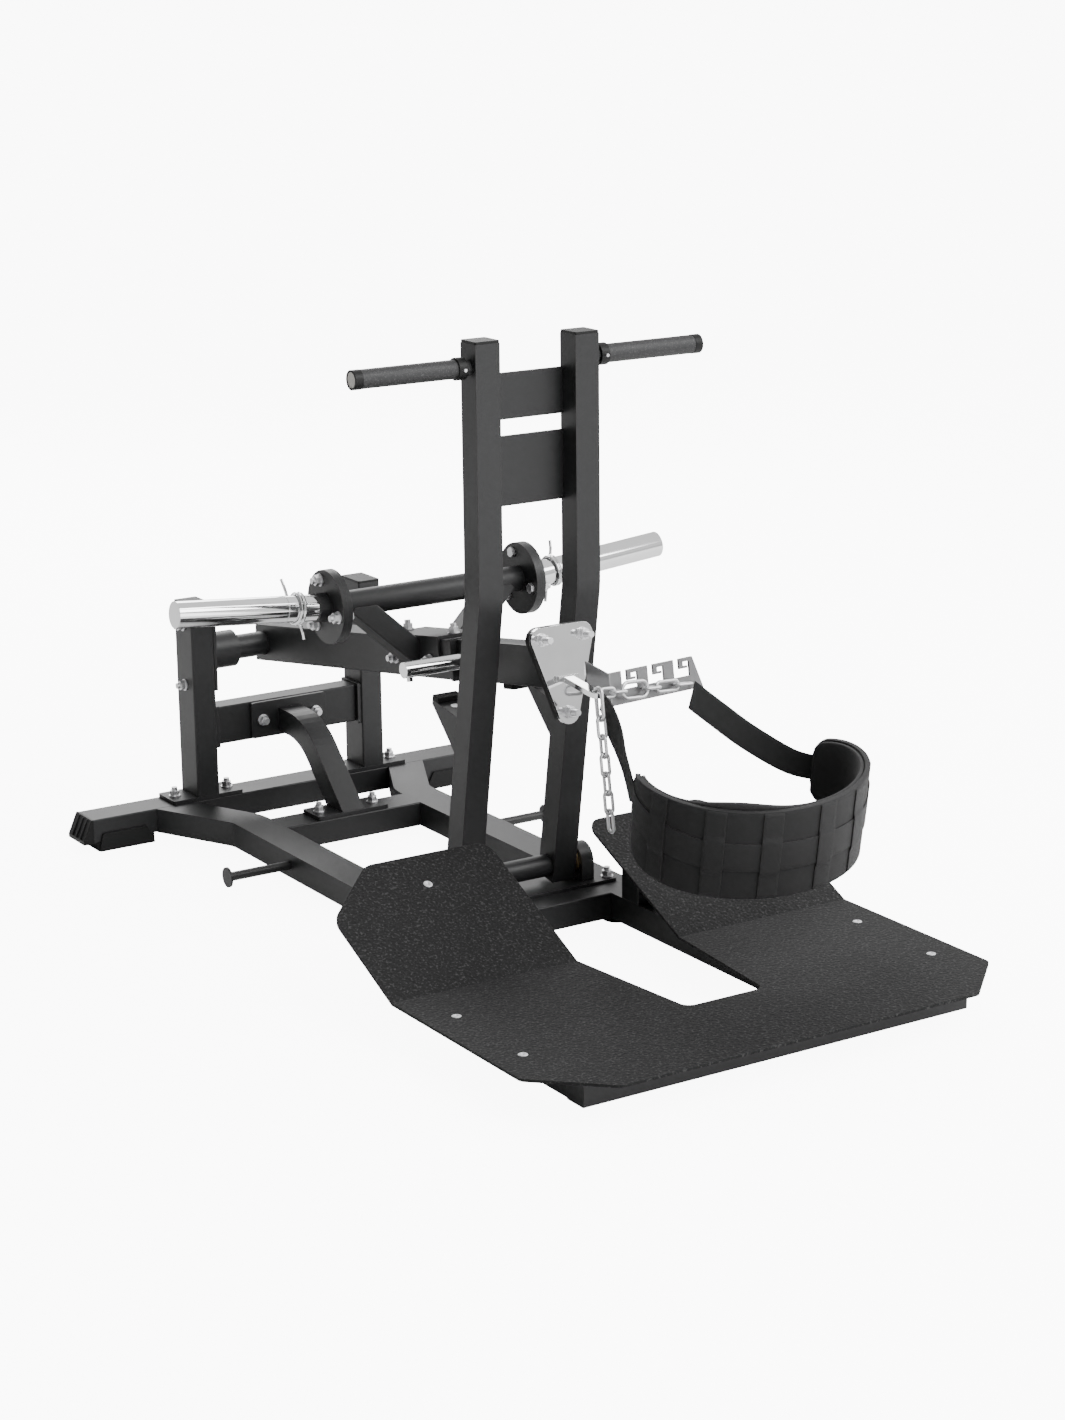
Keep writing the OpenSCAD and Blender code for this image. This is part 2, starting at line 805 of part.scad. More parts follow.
module arm_pivot_tube() {
    ring_at = housing_face - slip - ring_l;
    color([0.13, 0.13, 0.14]) arm_frame() {
        difference() {
            union() {
                rod_x(2 * ring_at, round_d);
                pair() translate([ring_at + ring_l / 2 - 0.5, 0, 0]) rod_x(ring_l + 1, ring_d);
            }
            rod_x(2 * housing_face + 10, arm_shaft_d + 2 * run);
        }
    }
}

module arm_bolt_places() {
    for (d = arm_bolt_at) translate([0, -d, arm_half + saddle_t]) children();
}

module side_bolt_places() {
    for (x = [-1, 1], d = side_bolt_at)
        translate([x * saddle_out, -d, -2]) rotate([0, x * 90, 0]) children();
}

module arm_rear_tube() {
    tube_l = joint_d + 3 * arm_tail;
    color([0.13, 0.13, 0.14]) arm_frame() difference() {
        translate([0, -joint_d + tube_l / 2, 0]) tube_y(tube_l, tube_w, tube_w);
        rotate([arm_rise, 0, 0]) translate([-tube_w, arm_tail, -2 * tube_w])
            cube([2 * tube_w, 4 * arm_tail, 4 * tube_w]);
        rod_x(2 * tube_w, round_d + 2 * run);
        arm_bolt_places() translate([0, 0, -tube_w]) bolt_hole(3 * tube_w);
        side_bolt_places() bolt_hole();
    }
}

module arm_joint_plate() {
    color([0.11, 0.11, 0.12]) arm_frame() translate([0, -joint_d, 0]) rotate([90, 0, 0])
        linear_extrude(joint_t) round_rect(joint_side, joint_side, 4);
}

module arm_front_tube() {
    from = joint_d + joint_t;
    color([0.13, 0.13, 0.14]) arm_frame() difference() {
        translate([0, -(from + hook_back) / 2, 0]) tube_y(hook_back - from, tube_n, tube_w);
        translate([0, -catch_d, 0]) rod_x(2 * tube_n, catch_pin_d + 2 * run);
    }
}

module flange_bolt_places() {
    for (x = [-1, 1], a = flange_bolt_at)
        translate([x * sleeve_root, -horn_d + flange_bolt_r * cos(a), horn_h + flange_bolt_r * sin(a)])
            rotate([0, x * 90, 0]) children();
}

module arm_bolts() {
    color([0.75, 0.76, 0.78]) arm_frame() {
        arm_bolt_places() fastener(tube_w + saddle_t);
        side_bolt_places() fastener(tube_wall + saddle_t + 0.2);
        flange_bolt_places() fastener(2 * flange_t);
        stud_places() {
            bolt(hook_t + backing_t, end = stud_l - washer_t - nut_h);
            nut();
        }
    }
}

module arm_bumper() {
    color([0.05, 0.05, 0.05]) arm_frame()
        translate([0, -bumper_at, -arm_half - bumper_t]) linear_extrude(bumper_t)
            round_rect(tube_n - 10, bumper_l, 6);
}

// Flange disc across the X axis, from x outwards
module flange_disc(x) {
    translate([x, -horn_d, horn_h]) rotate([0, 90, 0]) cylinder(h = flange_t, r = flange_r, $fn = 96);
}

module horn_cross_tube() {
    color([0.13, 0.13, 0.14]) arm_frame() difference() {
        union() {
            translate([0, -horn_d, horn_h]) rod_x(2 * horn_half + 1, round_d);
            pair() flange_disc(horn_half);
        }
        translate([0, -horn_d, horn_h]) rod_x(3 * horn_half, round_d - 2 * horn_wall);
        flange_bolt_places() bolt_hole(6 * flange_t);
    }
}

module horn_struts() {
    strut_l = (horn_h - strut_foot_z) / sin(strut_angle) + tube_n;
    color([0.13, 0.13, 0.14]) arm_frame() difference() {
        pair() translate([saddle_out, -horn_d, strut_foot_z]) rotate([0, 90 - strut_angle, 0])
            translate([0, 0, -tube_n]) tube_z(strut_l, tube_n - 6, tube_n - 2);
        translate([-saddle_out, -horn_d - tube_n, -2 * tube_w])
            cube([2 * saddle_out, 2 * tube_n, 5 * tube_w]);
        translate([-2 * horn_half, -horn_d - tube_n, horn_h])
            cube([4 * horn_half, 2 * tube_n, 2 * tube_w]);
        translate([0, -horn_d, horn_h]) rod_x(2 * horn_half, round_d);
    }
}

module strut_saddle() {
    saddle_l = saddle_to - saddle_from;
    color([0.12, 0.12, 0.13]) arm_frame() difference() {
        translate([-saddle_out, -saddle_to, arm_half - saddle_drop])
            cube([2 * saddle_out, saddle_l, saddle_drop + saddle_t]);
        translate([-saddle_in, -saddle_to - 1, arm_half - saddle_drop - 1])
            cube([2 * saddle_in, saddle_l + 2, saddle_drop + 1]);
        arm_bolt_places() bolt_hole();
        side_bolt_places() bolt_hole(4 * saddle_t);
    }
}

// Frame of the right sleeve: +Z runs out along the sleeve from the flange's face
module sleeve_frame() {
    translate([sleeve_root, -horn_d, horn_h]) rotate([0, 90 - sleeve_tilt, 0]) children();
}

module sleeve_flanges() {
    color([0.12, 0.12, 0.13]) arm_frame() pair() difference() {
        union() {
            flange_disc(horn_half + flange_t);
            sleeve_frame() translate([0, 0, -3]) cylinder(h = hub_l + 3, d = hub_d);
        }
        sleeve_frame() cylinder(h = hub_l + 10, d = sleeve_d + 2 * run);
        flange_bolt_places() bolt_hole(6 * flange_t);
    }
}

module sleeve() {
    arm_frame() sleeve_frame() difference() {
        cylinder(h = sleeve_l, d = sleeve_d);
        translate([0, 0, -1]) cylinder(h = sleeve_l - 5, d = sleeve_d - 2 * sleeve_wall);
        translate([0, 0, sleeve_l - plate_room - 2]) difference() {
            cylinder(h = 2, d = 2 * sleeve_d);
            translate([0, 0, -1]) cylinder(h = 4, d = sleeve_d - 1.6);
        }
    }
}

module left_sleeve() {
    color([0.85, 0.86, 0.88]) mirror([1, 0, 0]) sleeve();
}

module right_sleeve() {
    color([0.85, 0.86, 0.88]) sleeve();
}

// Wire route of a spring collar: a straight lead-out, the coil, and the second lead-out
function collar_point(i) = let (a = 40 + 360 * collar_turns * i / collar_steps)
    [collar_r * cos(a), collar_r * sin(a), collar_pitch * collar_turns * (i / collar_steps - 0.5)];
function collar_lead(i, side) =
    let (end = side < 0 ? 0 : collar_steps, p = collar_point(end),
         a = 40 + (side < 0 ? 0 : 360 * collar_turns), out = [cos(a), sin(a), 0],
         along = side * [-sin(a), cos(a), 0])
    p + along * 7 * i + out * 1.5 * i * i + [0, 0, side * 3 * i];
collar_steps = collar_sides * collar_turns;
collar_route = concat([for (i = [4 : -1 : 1]) collar_lead(i, -1)],
    [for (i = [0 : collar_steps]) collar_point(i)],
    [for (i = [1 : 4]) collar_lead(i, 1)]);
collar_gap = min([for (i = [0 : len(collar_route) - collar_sides / 2 - 1],
    j = [i + collar_sides / 2 : len(collar_route) - 1])
    norm(collar_route[i] - collar_route[j])]) - collar_wire;
echo(least_gap_between_collar_turns_mm = collar_gap);

// Round wire along a route of points
function wire_ring(p, t, d, sides = 8) =
    let (z = unit(t), x = unit(cross(abs(z[2]) < 0.9 ? [0, 0, 1] : [1, 0, 0], z)), y = cross(z, x))
    [for (i = [0 : sides - 1]) p + d / 2 * (x * cos(360 * i / sides) + y * sin(360 * i / sides))];
module wire(route, d) {
    n = len(route);
    skin([for (i = [0 : n - 1])
        wire_ring(route[i], route[min(i + 1, n - 1)] - route[max(i - 1, 0)], d)]);
}

module spring_collar() {
    arm_frame() sleeve_frame() translate([0, 0, collar_at]) wire(collar_route, collar_wire);
}

module left_spring_collar() {
    color([0.8, 0.8, 0.82]) mirror([1, 0, 0]) spring_collar();
}

module right_spring_collar() {
    color([0.8, 0.8, 0.82]) spring_collar();
}

module catch_pin() {
    nut_x = catch_pin_l / 2 - 12;
    color([0.85, 0.86, 0.88]) arm_frame() translate([0, -catch_d, 0]) {
        rod_x(catch_pin_l, catch_pin_d);
        translate([-nut_x, 0, -catch_pin_d / 2 - 7]) cylinder(h = 8, d = 13, $fn = 6);
    }
}

// Hook

function hook_outline() =
    let (side = atan2(stud_x, stud_up + stud_down), n = 8,
         top = [stud_x, stud_up], low = [0, -stud_down],
         right = concat(
            [for (i = [0 : n]) let (a = -90 + (90 - side) * i / n) low + hook_r * [cos(a), sin(a)]],
            [for (i = [0 : n]) let (a = -side + (90 + side) * i / n) top + hook_r * [cos(a), sin(a)]]))
    concat(right, [for (i = [len(right) - 1 : -1 : 1]) [-right[i][0], right[i][1]]]);

module stud_places() {
    for (p = [[-stud_x, stud_up], [stud_x, stud_up], [0, -stud_down]])
        translate([p[0], -hook_d, p[1]]) rotate([90, 0, 0]) children();
}

module hook_layer(from, thick) {
    arm_frame() difference() {
        translate([0, -from, 0]) rotate([90, 0, 0]) linear_extrude(thick) polygon(hook_outline());
        stud_places() bolt_hole(100);
    }
}

module hook_backing_plate() {
    color([0.06, 0.06, 0.06]) hook_layer(hook_back, backing_t);
}

module hook_plate() {
    color([0.86, 0.87, 0.89]) hook_layer(hook_d - hook_t, hook_t);
}

module hook_bar() {
    color([0.86, 0.87, 0.89]) arm_frame() translate([0, -hook_d, bar_z]) {
        translate([-head_l / 2, -bar_t, -bar_t / 2]) cube([head_l, bar_t, bar_t]);
        rotate([bar_drop, 0, 0]) difference() {
            union() {
                translate([-bar_w / 2, -hook_bar_l + bar_w / 2, -bar_t / 2])
                    cube([bar_w, hook_bar_l - bar_w / 2 - 4, bar_t]);
                translate([0, -hook_bar_l + bar_w / 2, -bar_t / 2]) cylinder(h = bar_t, d = bar_w);
            }
            translate([0, -hook_bar_l + bar_w / 2, -bar_t]) cylinder(h = 2 * bar_t, d = bar_hole);
        }
    }
}

// Frame of the rack's slotted leg: +X along the leg, +Z up, its front face at -rack_t
module rack_frame() {
    translate([rack_corner[0], -hook_d - rack_corner[1], rack_low]) rotate(rack_yaw) children();
}

// Slot that opens upwards and runs round a hooked finger, seen from the front
module rack_slot() {
    low = rack_h - slot_deep;
    stem = slot_open + finger_w;
    lip_top = rack_h - finger_drop + lip_t;
    polygon([[0, rack_h + 5], [0, low], [slot_w, low], [slot_w, rack_h - pocket_drop],
        [stem, rack_h - pocket_drop], [stem, lip_top], [slot_open + lip_l, lip_top],
        [slot_open + lip_l, lip_top - lip_t], [slot_open, lip_top - lip_t],
        [slot_open, rack_h + 5]]);
}

// Bent strip: a short leg from the hook plate, and the leg with three slots
module hook_rack() {
    foot = [rack_foot_x, 0];
    corner = [rack_corner[0], -rack_corner[1]];
    run_l = norm(corner - foot) - 1;
    turn = atan2(foot[1] - corner[1], corner[0] - foot[0]);
    start = foot - 6 * along(-turn);
    end = corner + (rack_l + 5) * along(rack_yaw);
    rise = 22;
    fall = 30;
    color([0.8, 0.81, 0.83]) arm_frame() difference() {
        translate([0, -hook_d, rack_low]) linear_extrude(rack_h + 2 * rise)
            polygon(concat([start, corner, end, end + rack_t * along(rack_yaw - 90)],
                [for (i = [4 : -1 : 0]) corner + rack_t * along(-90 - turn + (turn + rack_yaw) * i / 4)],
                [start + rack_t * along(-90 - turn)]));
        translate([0, -hook_d, rack_low - 10]) cube([rack_corner[0], 20, 3 * rack_h]);
        translate([rack_foot_x, -hook_d, rack_low]) rotate(-turn) rotate([90, 0, 0])
            translate([0, 0, -rack_l - 20]) linear_extrude(rack_l + 60) {
                polygon([[-8, rack_h + rise + 8 * rise / run_l], [run_l, rack_h],
                    [2 * rack_l, rack_h], [2 * rack_l, 200], [-8, 200]]);
                polygon([[-8, fall + 8 * fall / run_l], [run_l + 8, -8 * fall / run_l], [-8, -20]]);
            }
        rack_frame() rotate([90, 0, 0]) translate([0, 0, -20]) linear_extrude(rack_t + 40) {
            for (i = [0 : 2]) translate([slot_at + i * slot_pitch, 0]) rack_slot();
            polygon([[rack_l + rack_lean * 5 / rack_h, -5],
                [rack_l - rack_lean * (rack_h + 5) / rack_h, rack_h + 5],
                [rack_l + 50, rack_h + 5], [rack_l + 50, -5]]);
        }
    }
}

// One chain link along Z, lying in the XZ plane, centred
module link(p, d, w) {
    bend = (w - d) / 2;
    straight = p + d - 2 * bend;
    for (s = [-1, 1]) {
        translate([s * bend, 0, 0]) cylinder(h = straight, d = d, center = true, $fn = 16);
        translate([0, 0, s * straight / 2]) rotate([90, 0, 0]) rotate(s > 0 ? 0 : 180)
            rotate_extrude(angle = 180, $fn = 32) translate([bend, 0]) circle(d = d, $fn = 16);
    }
}

// Pivot of the chain and the belt: the hole near the tip of the hook bar
function bar_tip() = let (l = hook_bar_l - bar_w / 2)
    [0, -hook_d - l * cos(bar_drop), bar_z - l * sin(bar_drop)];

// The same point in the frame of the whole machine
function tip() = let (p = bar_tip())
    [p[0], pivot_y + p[1] * cos(arm_rise) + p[2] * sin(arm_rise),
     pivot_z - p[1] * sin(arm_rise) + p[2] * cos(arm_rise)];

module chain() {
    slack = 0.6;
    leg = (quick_w - quick_d) / 2;
    quick_z = bar_t / 2 + 2.5 - quick_p / 2;
    color([0.84, 0.85, 0.87]) arm_frame() translate(bar_tip() + [0, -leg, quick_z]) {
        rotate([0, 0, 90]) link(quick_p, quick_d, quick_w);
        for (i = [0 : links - 1])
            translate([0, 0, slack - quick_p / 2 - link_p / 2 - i * (link_p - slack)])
                rotate([0, 0, i % 2 == 0 ? 0 : 90]) link(link_p, link_d, link_w);
    }
}

// Links that lie along the front of the rack, from beside the hook bar to the right strap
module rack_chain() {
    slack = 0.6;
    fall = 4;
    away = rack_t + link_w / 2 + slip;
    color([0.84, 0.85, 0.87]) arm_frame() rack_frame() translate([connector_from, -away, connector_z])
        rotate([0, fall, 0]) for (i = [0 : len(connector) - 1])
            translate([connector_middle(i, slack), 0, 0]) rotate([i % 2 == 0 ? 0 : 90, 0, 0])
                rotate([0, 90, 0]) link(connector[i][0], connector[i][1], connector[i][2]);
}
function connector_middle(i, slack) =
    i == 0 ? connector[0][0] / 2
           : connector_middle(i - 1, slack) + (connector[i - 1][0] + connector[i][0]) / 2 - slack;

// Tower

module upright() {
    first = tower_top - cap_t - bend_z - bend_tangent;
    difference() {
        translate([upright_x, tower_y, tower_top - cap_t]) rotate([-90, 0, 90])
            bent_tube(tube_n, tube_n, first, bend_r, tower_lean, leg_run - bend_tangent + leg_end);
        translate([0, tower_pivot_y, tower_pivot_z]) rod_x(4 * upright_out, tower_tube_d + 2 * run);
    }
}

module left_upright() {
    color([0.13, 0.13, 0.14]) mirror([1, 0, 0]) upright();
}

module right_upright() {
    color([0.13, 0.13, 0.14]) upright();
}

module upright_caps() {
    color([0.1, 0.1, 0.1]) pair() translate([upright_x, tower_y, tower_top - cap_t])
        tube_cap(tube_n, tube_n);
}

module tower_plates() {
    color([0.15, 0.15, 0.16]) for (z = [top_plate, mid_plate])
        translate([-upright_in, tower_rear - tower_plate_t, z[0]])
            cube([2 * upright_in, tower_plate_t, z[1] - z[0]]);
}

module handles() {
    grip_from = upright_out + handle_collar[0] + handle_collar[1];
    grip_to = handle_half - handle_cap_l;
    color([0.17, 0.17, 0.18]) pair() translate([0, tower_y, handle_z]) rotate([0, 90, 0]) {
        translate([0, 0, upright_out]) cylinder(h = handle_half - 1 - upright_out, d = handle_d);
        translate([0, 0, grip_from]) cylinder(h = grip_to - grip_from, d = grip_d);
    }
}

module handle_fittings() {
    ring_from = upright_out + handle_collar[0];
    grip_to = handle_half - handle_cap_l;
    color([0.04, 0.04, 0.04]) pair() translate([0, tower_y, handle_z]) rotate([0, 90, 0]) {
        translate([0, 0, ring_from]) difference() {
            cylinder(h = handle_collar[1], d = grip_d + 6);
            translate([0, 0, -1]) cylinder(h = handle_collar[1] + 2, d = handle_d + 2 * run);
        }
        translate([0, 0, grip_to]) difference() {
            cylinder(h = handle_cap_l, d = grip_d + 1);
            translate([0, 0, -1]) cylinder(h = handle_cap_l + 2, d = handle_d + 2 * run);
        }
    }
}

module catch_screw_places() {
    tower_frame() for (x = [-1, 1])
        translate([x * upright_x, tube_n / 2 + catch_l - 40, catch_h]) children();
}

module catch_brackets() {
    rear = tube_n / 2;
    color([0.13, 0.13, 0.14]) difference() {
        tower_frame() pair() {
            translate([upright_in, rear, catch_h - catch_t]) cube([tube_n, catch_l, catch_t]);
            for (x = [upright_in, upright_out - gusset_t])
                translate([x, rear, catch_h - catch_t]) rotate([90, 0, 90])
                    linear_extrude(gusset_t) polygon([[0, 0], [catch_l, 0], [0, -gusset_drop]]);
        }
        catch_screw_places() countersink(2 * run);
    }
}

module catch_pads() {
    color([0.04, 0.04, 0.04]) tower_frame() pair()
        translate([upright_in, tube_n / 2 + catch_l - catch_pad_l, catch_h])
            cube([tube_n, catch_pad_l, catch_pad_t]);
}

module tower_screws() {
    ring_mid = upright_out + handle_collar[0] + handle_collar[1] / 2;
    color([0.7, 0.7, 0.72]) {
        catch_screw_places() countersink(0);
        pair() translate([ring_mid, tower_y - grip_d / 2 - 7, handle_z]) rotate([90, 0, 0])
            translate([0, 0, -4]) cylinder(h = 5, d = 6);
    }
}

module tower_pivot_tube() {
    color([0.13, 0.13, 0.14]) translate([0, tower_pivot_y, tower_pivot_z]) difference() {
        rod_x(2 * tower_tube_half, tower_tube_d);
        rod_x(4 * tower_tube_half, bush_d + 2 * fit);
    }
}

module tower_bushes() {
    color([0.78, 0.62, 0.3]) pair() translate([tower_tube_half + fit, tower_pivot_y, tower_pivot_z])
        rotate([0, 90, 0]) difference() {
            union() {
                translate([0, 0, -bush_l]) cylinder(h = bush_l + 1, d = bush_d);
                cylinder(h = bush_flange, d = tower_tube_d + 10);
            }
            translate([0, 0, -bush_l - 1])
                cylinder(h = bush_l + bush_flange + 2, d = tower_shaft_d + 2 * run);
        }
}

// Belt

// The belt lies on an arc of an ellipse: half width belt_a, depth belt_b, open to the rear
function belt_height(s) = belt_h * (1 - 0.38 * pow(abs(s), 6));
function belt_ring(s) =
    let (a = belt_arc * s, out = unit([sin(a) / belt_a, -cos(a) / belt_b, 0]),
         mid = [belt_a * sin(a), -belt_b * cos(a), 0], h = belt_height(s) / 2,
         t = belt_t / 2, up = [0, 0, 1])
    [mid - out * t + up * (h - 4), mid - out * t * 0.4 + up * h, mid + out * t * 0.4 + up * h,
     mid + out * t + up * (h - 4), mid + out * t - up * (h - 4), mid + out * t * 0.4 - up * h,
     mid - out * t * 0.4 - up * h, mid - out * t - up * (h - 4)];

module belt_frame() {
    translate(tip() + belt_from_tip) rotate([belt_turn[0], 0, 0]) rotate([0, belt_turn[1], 0])
        rotate([0, 0, belt_turn[2]]) children();
}

module hip_belt() {
    color([0.1, 0.1, 0.1]) belt_frame()
        skin([for (i = [belt_steps : -1 : 0]) belt_ring(2 * i / belt_steps - 1)]);
}

// Straps stand on edge: each station has its middle, seen from the tip of the hook bar, and the
// direction of its width
left_stations = [[[14.2, -19.6, -27.9], [0, -0.9, 0.4]], [[15.5, -35.6, -61.9], [0, -0.9, 0.4]],
    [[18.5, -49.6, -95.9], [-0.2, -0.9, 0.3]], [[22.5, -60.6, -125.9], [-0.28, -0.93, 0.24]],
    [[25, -69.6, -153.9], [-0.3, -0.93, 0.2]], [[25, -76.6, -182.9], [-0.4, -0.9, 0.15]]];
right_stations = [[[257, 78.2, -53.9], [0.6, 0, 0.8]], [[287, 36.4, -87.9], [0.5, 0, 0.85]],
    [[322, -13.6, -125.9], [0.4, 0, 0.9]], [[366, -77.1, -162.4], [0.1, 0, 1]],
    [[395, -123.6, -170.9], [-0.06, -0.2, 0.97]]];
function station(list, u) =
    let (k = u * (len(list) - 1), i = min(floor(k), len(list) - 2), f = k - i,
         a = list[max(i - 1, 0)], b = list[i], c = list[i + 1], d = list[min(i + 2, len(list) - 1)])
    [for (j = [0, 1]) 0.5 * (2 * b[j] + f * (c[j] - a[j])
        + f * f * (2 * a[j] - 5 * b[j] + 4 * c[j] - d[j])
        + f * f * f * (3 * b[j] - a[j] - 3 * c[j] + d[j]))];
function strap_ring(list, u) =
    let (here = station(list, u), ahead = station(list, min(u + 0.01, 1)),
         back = station(list, max(u - 0.01, 0)), t = unit(ahead[0] - back[0]),
         w = unit(here[1] - t * (here[1] * t)), n = cross(t, w),
         a = w * strap_w / 2, b = n * strap_t / 2)
    [for (o = [a + b, b - a, -a - b, a - b]) tip() + here[0] + o];

module belt_straps() {
    color([0.12, 0.12, 0.12]) for (list = [left_stations, right_stations])
        skin([for (i = [0 : strap_steps]) strap_ring(list, i / strap_steps)]);
}

rear_beam();
beam_end_caps();
rear_feet();
front_feet();
left_rail();
right_rail();
mid_cross_member();
front_cross_member();
platform_frame();
wing_legs();
foot_plate();
plate_screws();
band_pegs();
left_post();
right_post();
post_caps();
mounting_plates();
stand_cross_beam();
brace();
frame_bolts();
pivot_housings();
pivot_bearings();
tower_base_plate();
tower_bearing_blocks();
tower_shaft();
arm_shaft();
arm_pivot_tube();
arm_rear_tube();
arm_front_tube();
arm_joint_plate();
arm_bolts();
arm_bumper();
horn_cross_tube();
horn_struts();
strut_saddle();
sleeve_flanges();
left_sleeve();
right_sleeve();
catch_pin();
hook_backing_plate();
hook_plate();
hook_bar();
hook_rack();
rack_chain();
left_spring_collar();
right_spring_collar();
left_upright();
right_upright();
upright_caps();
tower_plates();
handles();
handle_fittings();
catch_brackets();
catch_pads();
tower_screws();
tower_pivot_tube();
tower_bushes();
chain();
hip_belt();
belt_straps();
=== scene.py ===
"""Looks of the belt squat machine: finishes for its steel parts, and its hip belt and straps."""

import json
import logging
import math
from dataclasses import dataclass, field
from enum import Enum
from typing import Callable, Sequence

import bmesh
import bpy
from mathutils import Matrix, Vector


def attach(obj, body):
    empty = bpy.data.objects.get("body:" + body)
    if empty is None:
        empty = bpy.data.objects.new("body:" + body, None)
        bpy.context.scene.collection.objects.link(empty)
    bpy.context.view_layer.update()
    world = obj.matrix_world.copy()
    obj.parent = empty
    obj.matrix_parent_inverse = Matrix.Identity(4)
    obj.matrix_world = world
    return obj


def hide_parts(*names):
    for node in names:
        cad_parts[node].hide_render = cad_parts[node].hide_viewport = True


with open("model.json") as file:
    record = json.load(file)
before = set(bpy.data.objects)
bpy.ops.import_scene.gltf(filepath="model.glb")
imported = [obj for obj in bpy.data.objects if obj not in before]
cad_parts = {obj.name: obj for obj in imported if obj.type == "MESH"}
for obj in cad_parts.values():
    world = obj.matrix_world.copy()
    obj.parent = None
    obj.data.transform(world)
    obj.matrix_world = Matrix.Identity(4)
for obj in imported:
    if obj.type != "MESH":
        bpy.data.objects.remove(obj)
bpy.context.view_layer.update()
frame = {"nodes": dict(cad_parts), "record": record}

logging.basicConfig(level=logging.INFO, format="%(message)s")
LOG = logging.getLogger("belt_squat")

Color = tuple[float, float, float]

# Distance between the nodes of a tree in the editor
COLUMN_WIDTH = 180
# Millimetres in a metre
MM_PER_M = 1000
# Steps in the rounding of a sheet's rim, and the least angle of an edge that is rounded
RIM_SEGMENTS = 3
RIM_ANGLE = math.radians(50)


class Slot(Enum):
    """Material slots of the record."""

    COAT = "powder_coat"
    GRIT = "grit_coat"
    CHROME = "chrome"
    ZINC = "zinc"
    BRASS = "brass"
    RUBBER = "rubber"
    PLASTIC = "black_plastic"
    BELT = "belt_fabric"


# ---- Shader graph helpers


class Graph:
    """A small writer for one node tree.

    Args:
        tree: The node tree of a material, a world or a node group.
    """

    def __init__(self, tree: bpy.types.NodeTree) -> None:
        self.tree = tree
        self.column = 0

    def add(self, kind: str, **settings: object) -> bpy.types.Node:
        """Add a node.

        Args:
            kind: Blender's name of the node type.
            **settings: Attributes to set on the node.

        Returns:
            The new node.
        """
        node = self.tree.nodes.new(kind)
        self.column += 1
        node.location = (COLUMN_WIDTH * self.column, 0)
        for name, value in settings.items():
            setattr(node, name, value)
        return node

    def link(self, source: bpy.types.NodeSocket, target: bpy.types.NodeSocket) -> None:
        """Join an output to an input.

        Args:
            source: The output.
            target: The input.
        """
        self.tree.links.new(source, target)

    def math(self, operation: str, *inputs: object) -> bpy.types.NodeSocket:
        """Add a Math node.

        Args:
            operation: Name of the operation.
            *inputs: A socket or a number for each input.

        Returns:
            The node's output.
        """
        node = self.add("ShaderNodeMath", operation=operation)
        for socket, value in zip(node.inputs, inputs):
            if isinstance(value, bpy.types.NodeSocket):
                self.link(value, socket)
            else:
                socket.default_value = value
        return node.outputs[0]

    def spread(self, value: bpy.types.NodeSocket, low: float, high: float) -> bpy.types.NodeSocket:
        """Map a mask from 0..1 to low..high.

        Args:
            value: The mask.
            low: Result where the mask is 0.
            high: Result where the mask is 1.

        Returns:
            The result.
        """
        node = self.add("ShaderNodeMapRange")
        self.link(value, node.inputs["Value"])
        node.inputs["To Min"].default_value = low
        node.inputs["To Max"].default_value = high
        return node.outputs["Result"]

    def blend(self, factor: bpy.types.NodeSocket, low: Color, high: Color) -> bpy.types.NodeSocket:
        """Mix two colours by a mask.

        Args:
            factor: The mask.
            low: Colour where the mask is 0.
            high: Colour where the mask is 1.

        Returns:
            The mixed colour.
        """
        node = self.add("ShaderNodeMix", data_type="RGBA")
        self.link(factor, node.inputs["Factor"])
        node.inputs["A"].default_value = (*low, 1)
        node.inputs["B"].default_value = (*high, 1)
        return node.outputs["Result"]

    def noise(self, where: bpy.types.NodeSocket, detail: float,
              scale: float | bpy.types.NodeSocket) -> bpy.types.NodeSocket:
        """Add a Noise Texture node.

        Args:
            where: The coordinates it reads.
            detail: Number of its octaves.
            scale: Its scale, as a number or a socket.

        Returns:
            Its grey value.
        """
        node = self.add("ShaderNodeTexNoise")
        self.link(where, node.inputs["Vector"])
        node.inputs["Detail"].default_value = detail
        if isinstance(scale, bpy.types.NodeSocket):
            self.link(scale, node.inputs["Scale"])
        else:
            node.inputs["Scale"].default_value = scale
        return node.outputs["Fac"]

    def object_place(self) -> bpy.types.NodeSocket:
        """Add the coordinates of the object.

        Returns:
            The coordinates.
        """
        return self.add("ShaderNodeTexCoord").outputs["Object"]


def new_group(name: str, inputs: Sequence[tuple[str, float]], outputs: Sequence[str]) -> tuple:
    """Start a shader node group.

    Args:
        name: Name of the group.
        inputs: Name and default of each number that the group takes.
        outputs: Name of each mask or value that it puts out.

    Returns:
        The group, its graph, its input node and its output node.
    """
    tree = bpy.data.node_groups.new(name, "ShaderNodeTree")
    for title, default in inputs:
        socket = tree.interface.new_socket(title, in_out="INPUT", socket_type="NodeSocketFloat")
        socket.default_value = default
    for title in outputs:
        kind = "NodeSocketVector" if title == "Normal" else "NodeSocketFloat"
        tree.interface.new_socket(title, in_out="OUTPUT", socket_type=kind)
    graph = Graph(tree)
    return tree, graph, graph.add("NodeGroupInput"), graph.add("NodeGroupOutput")


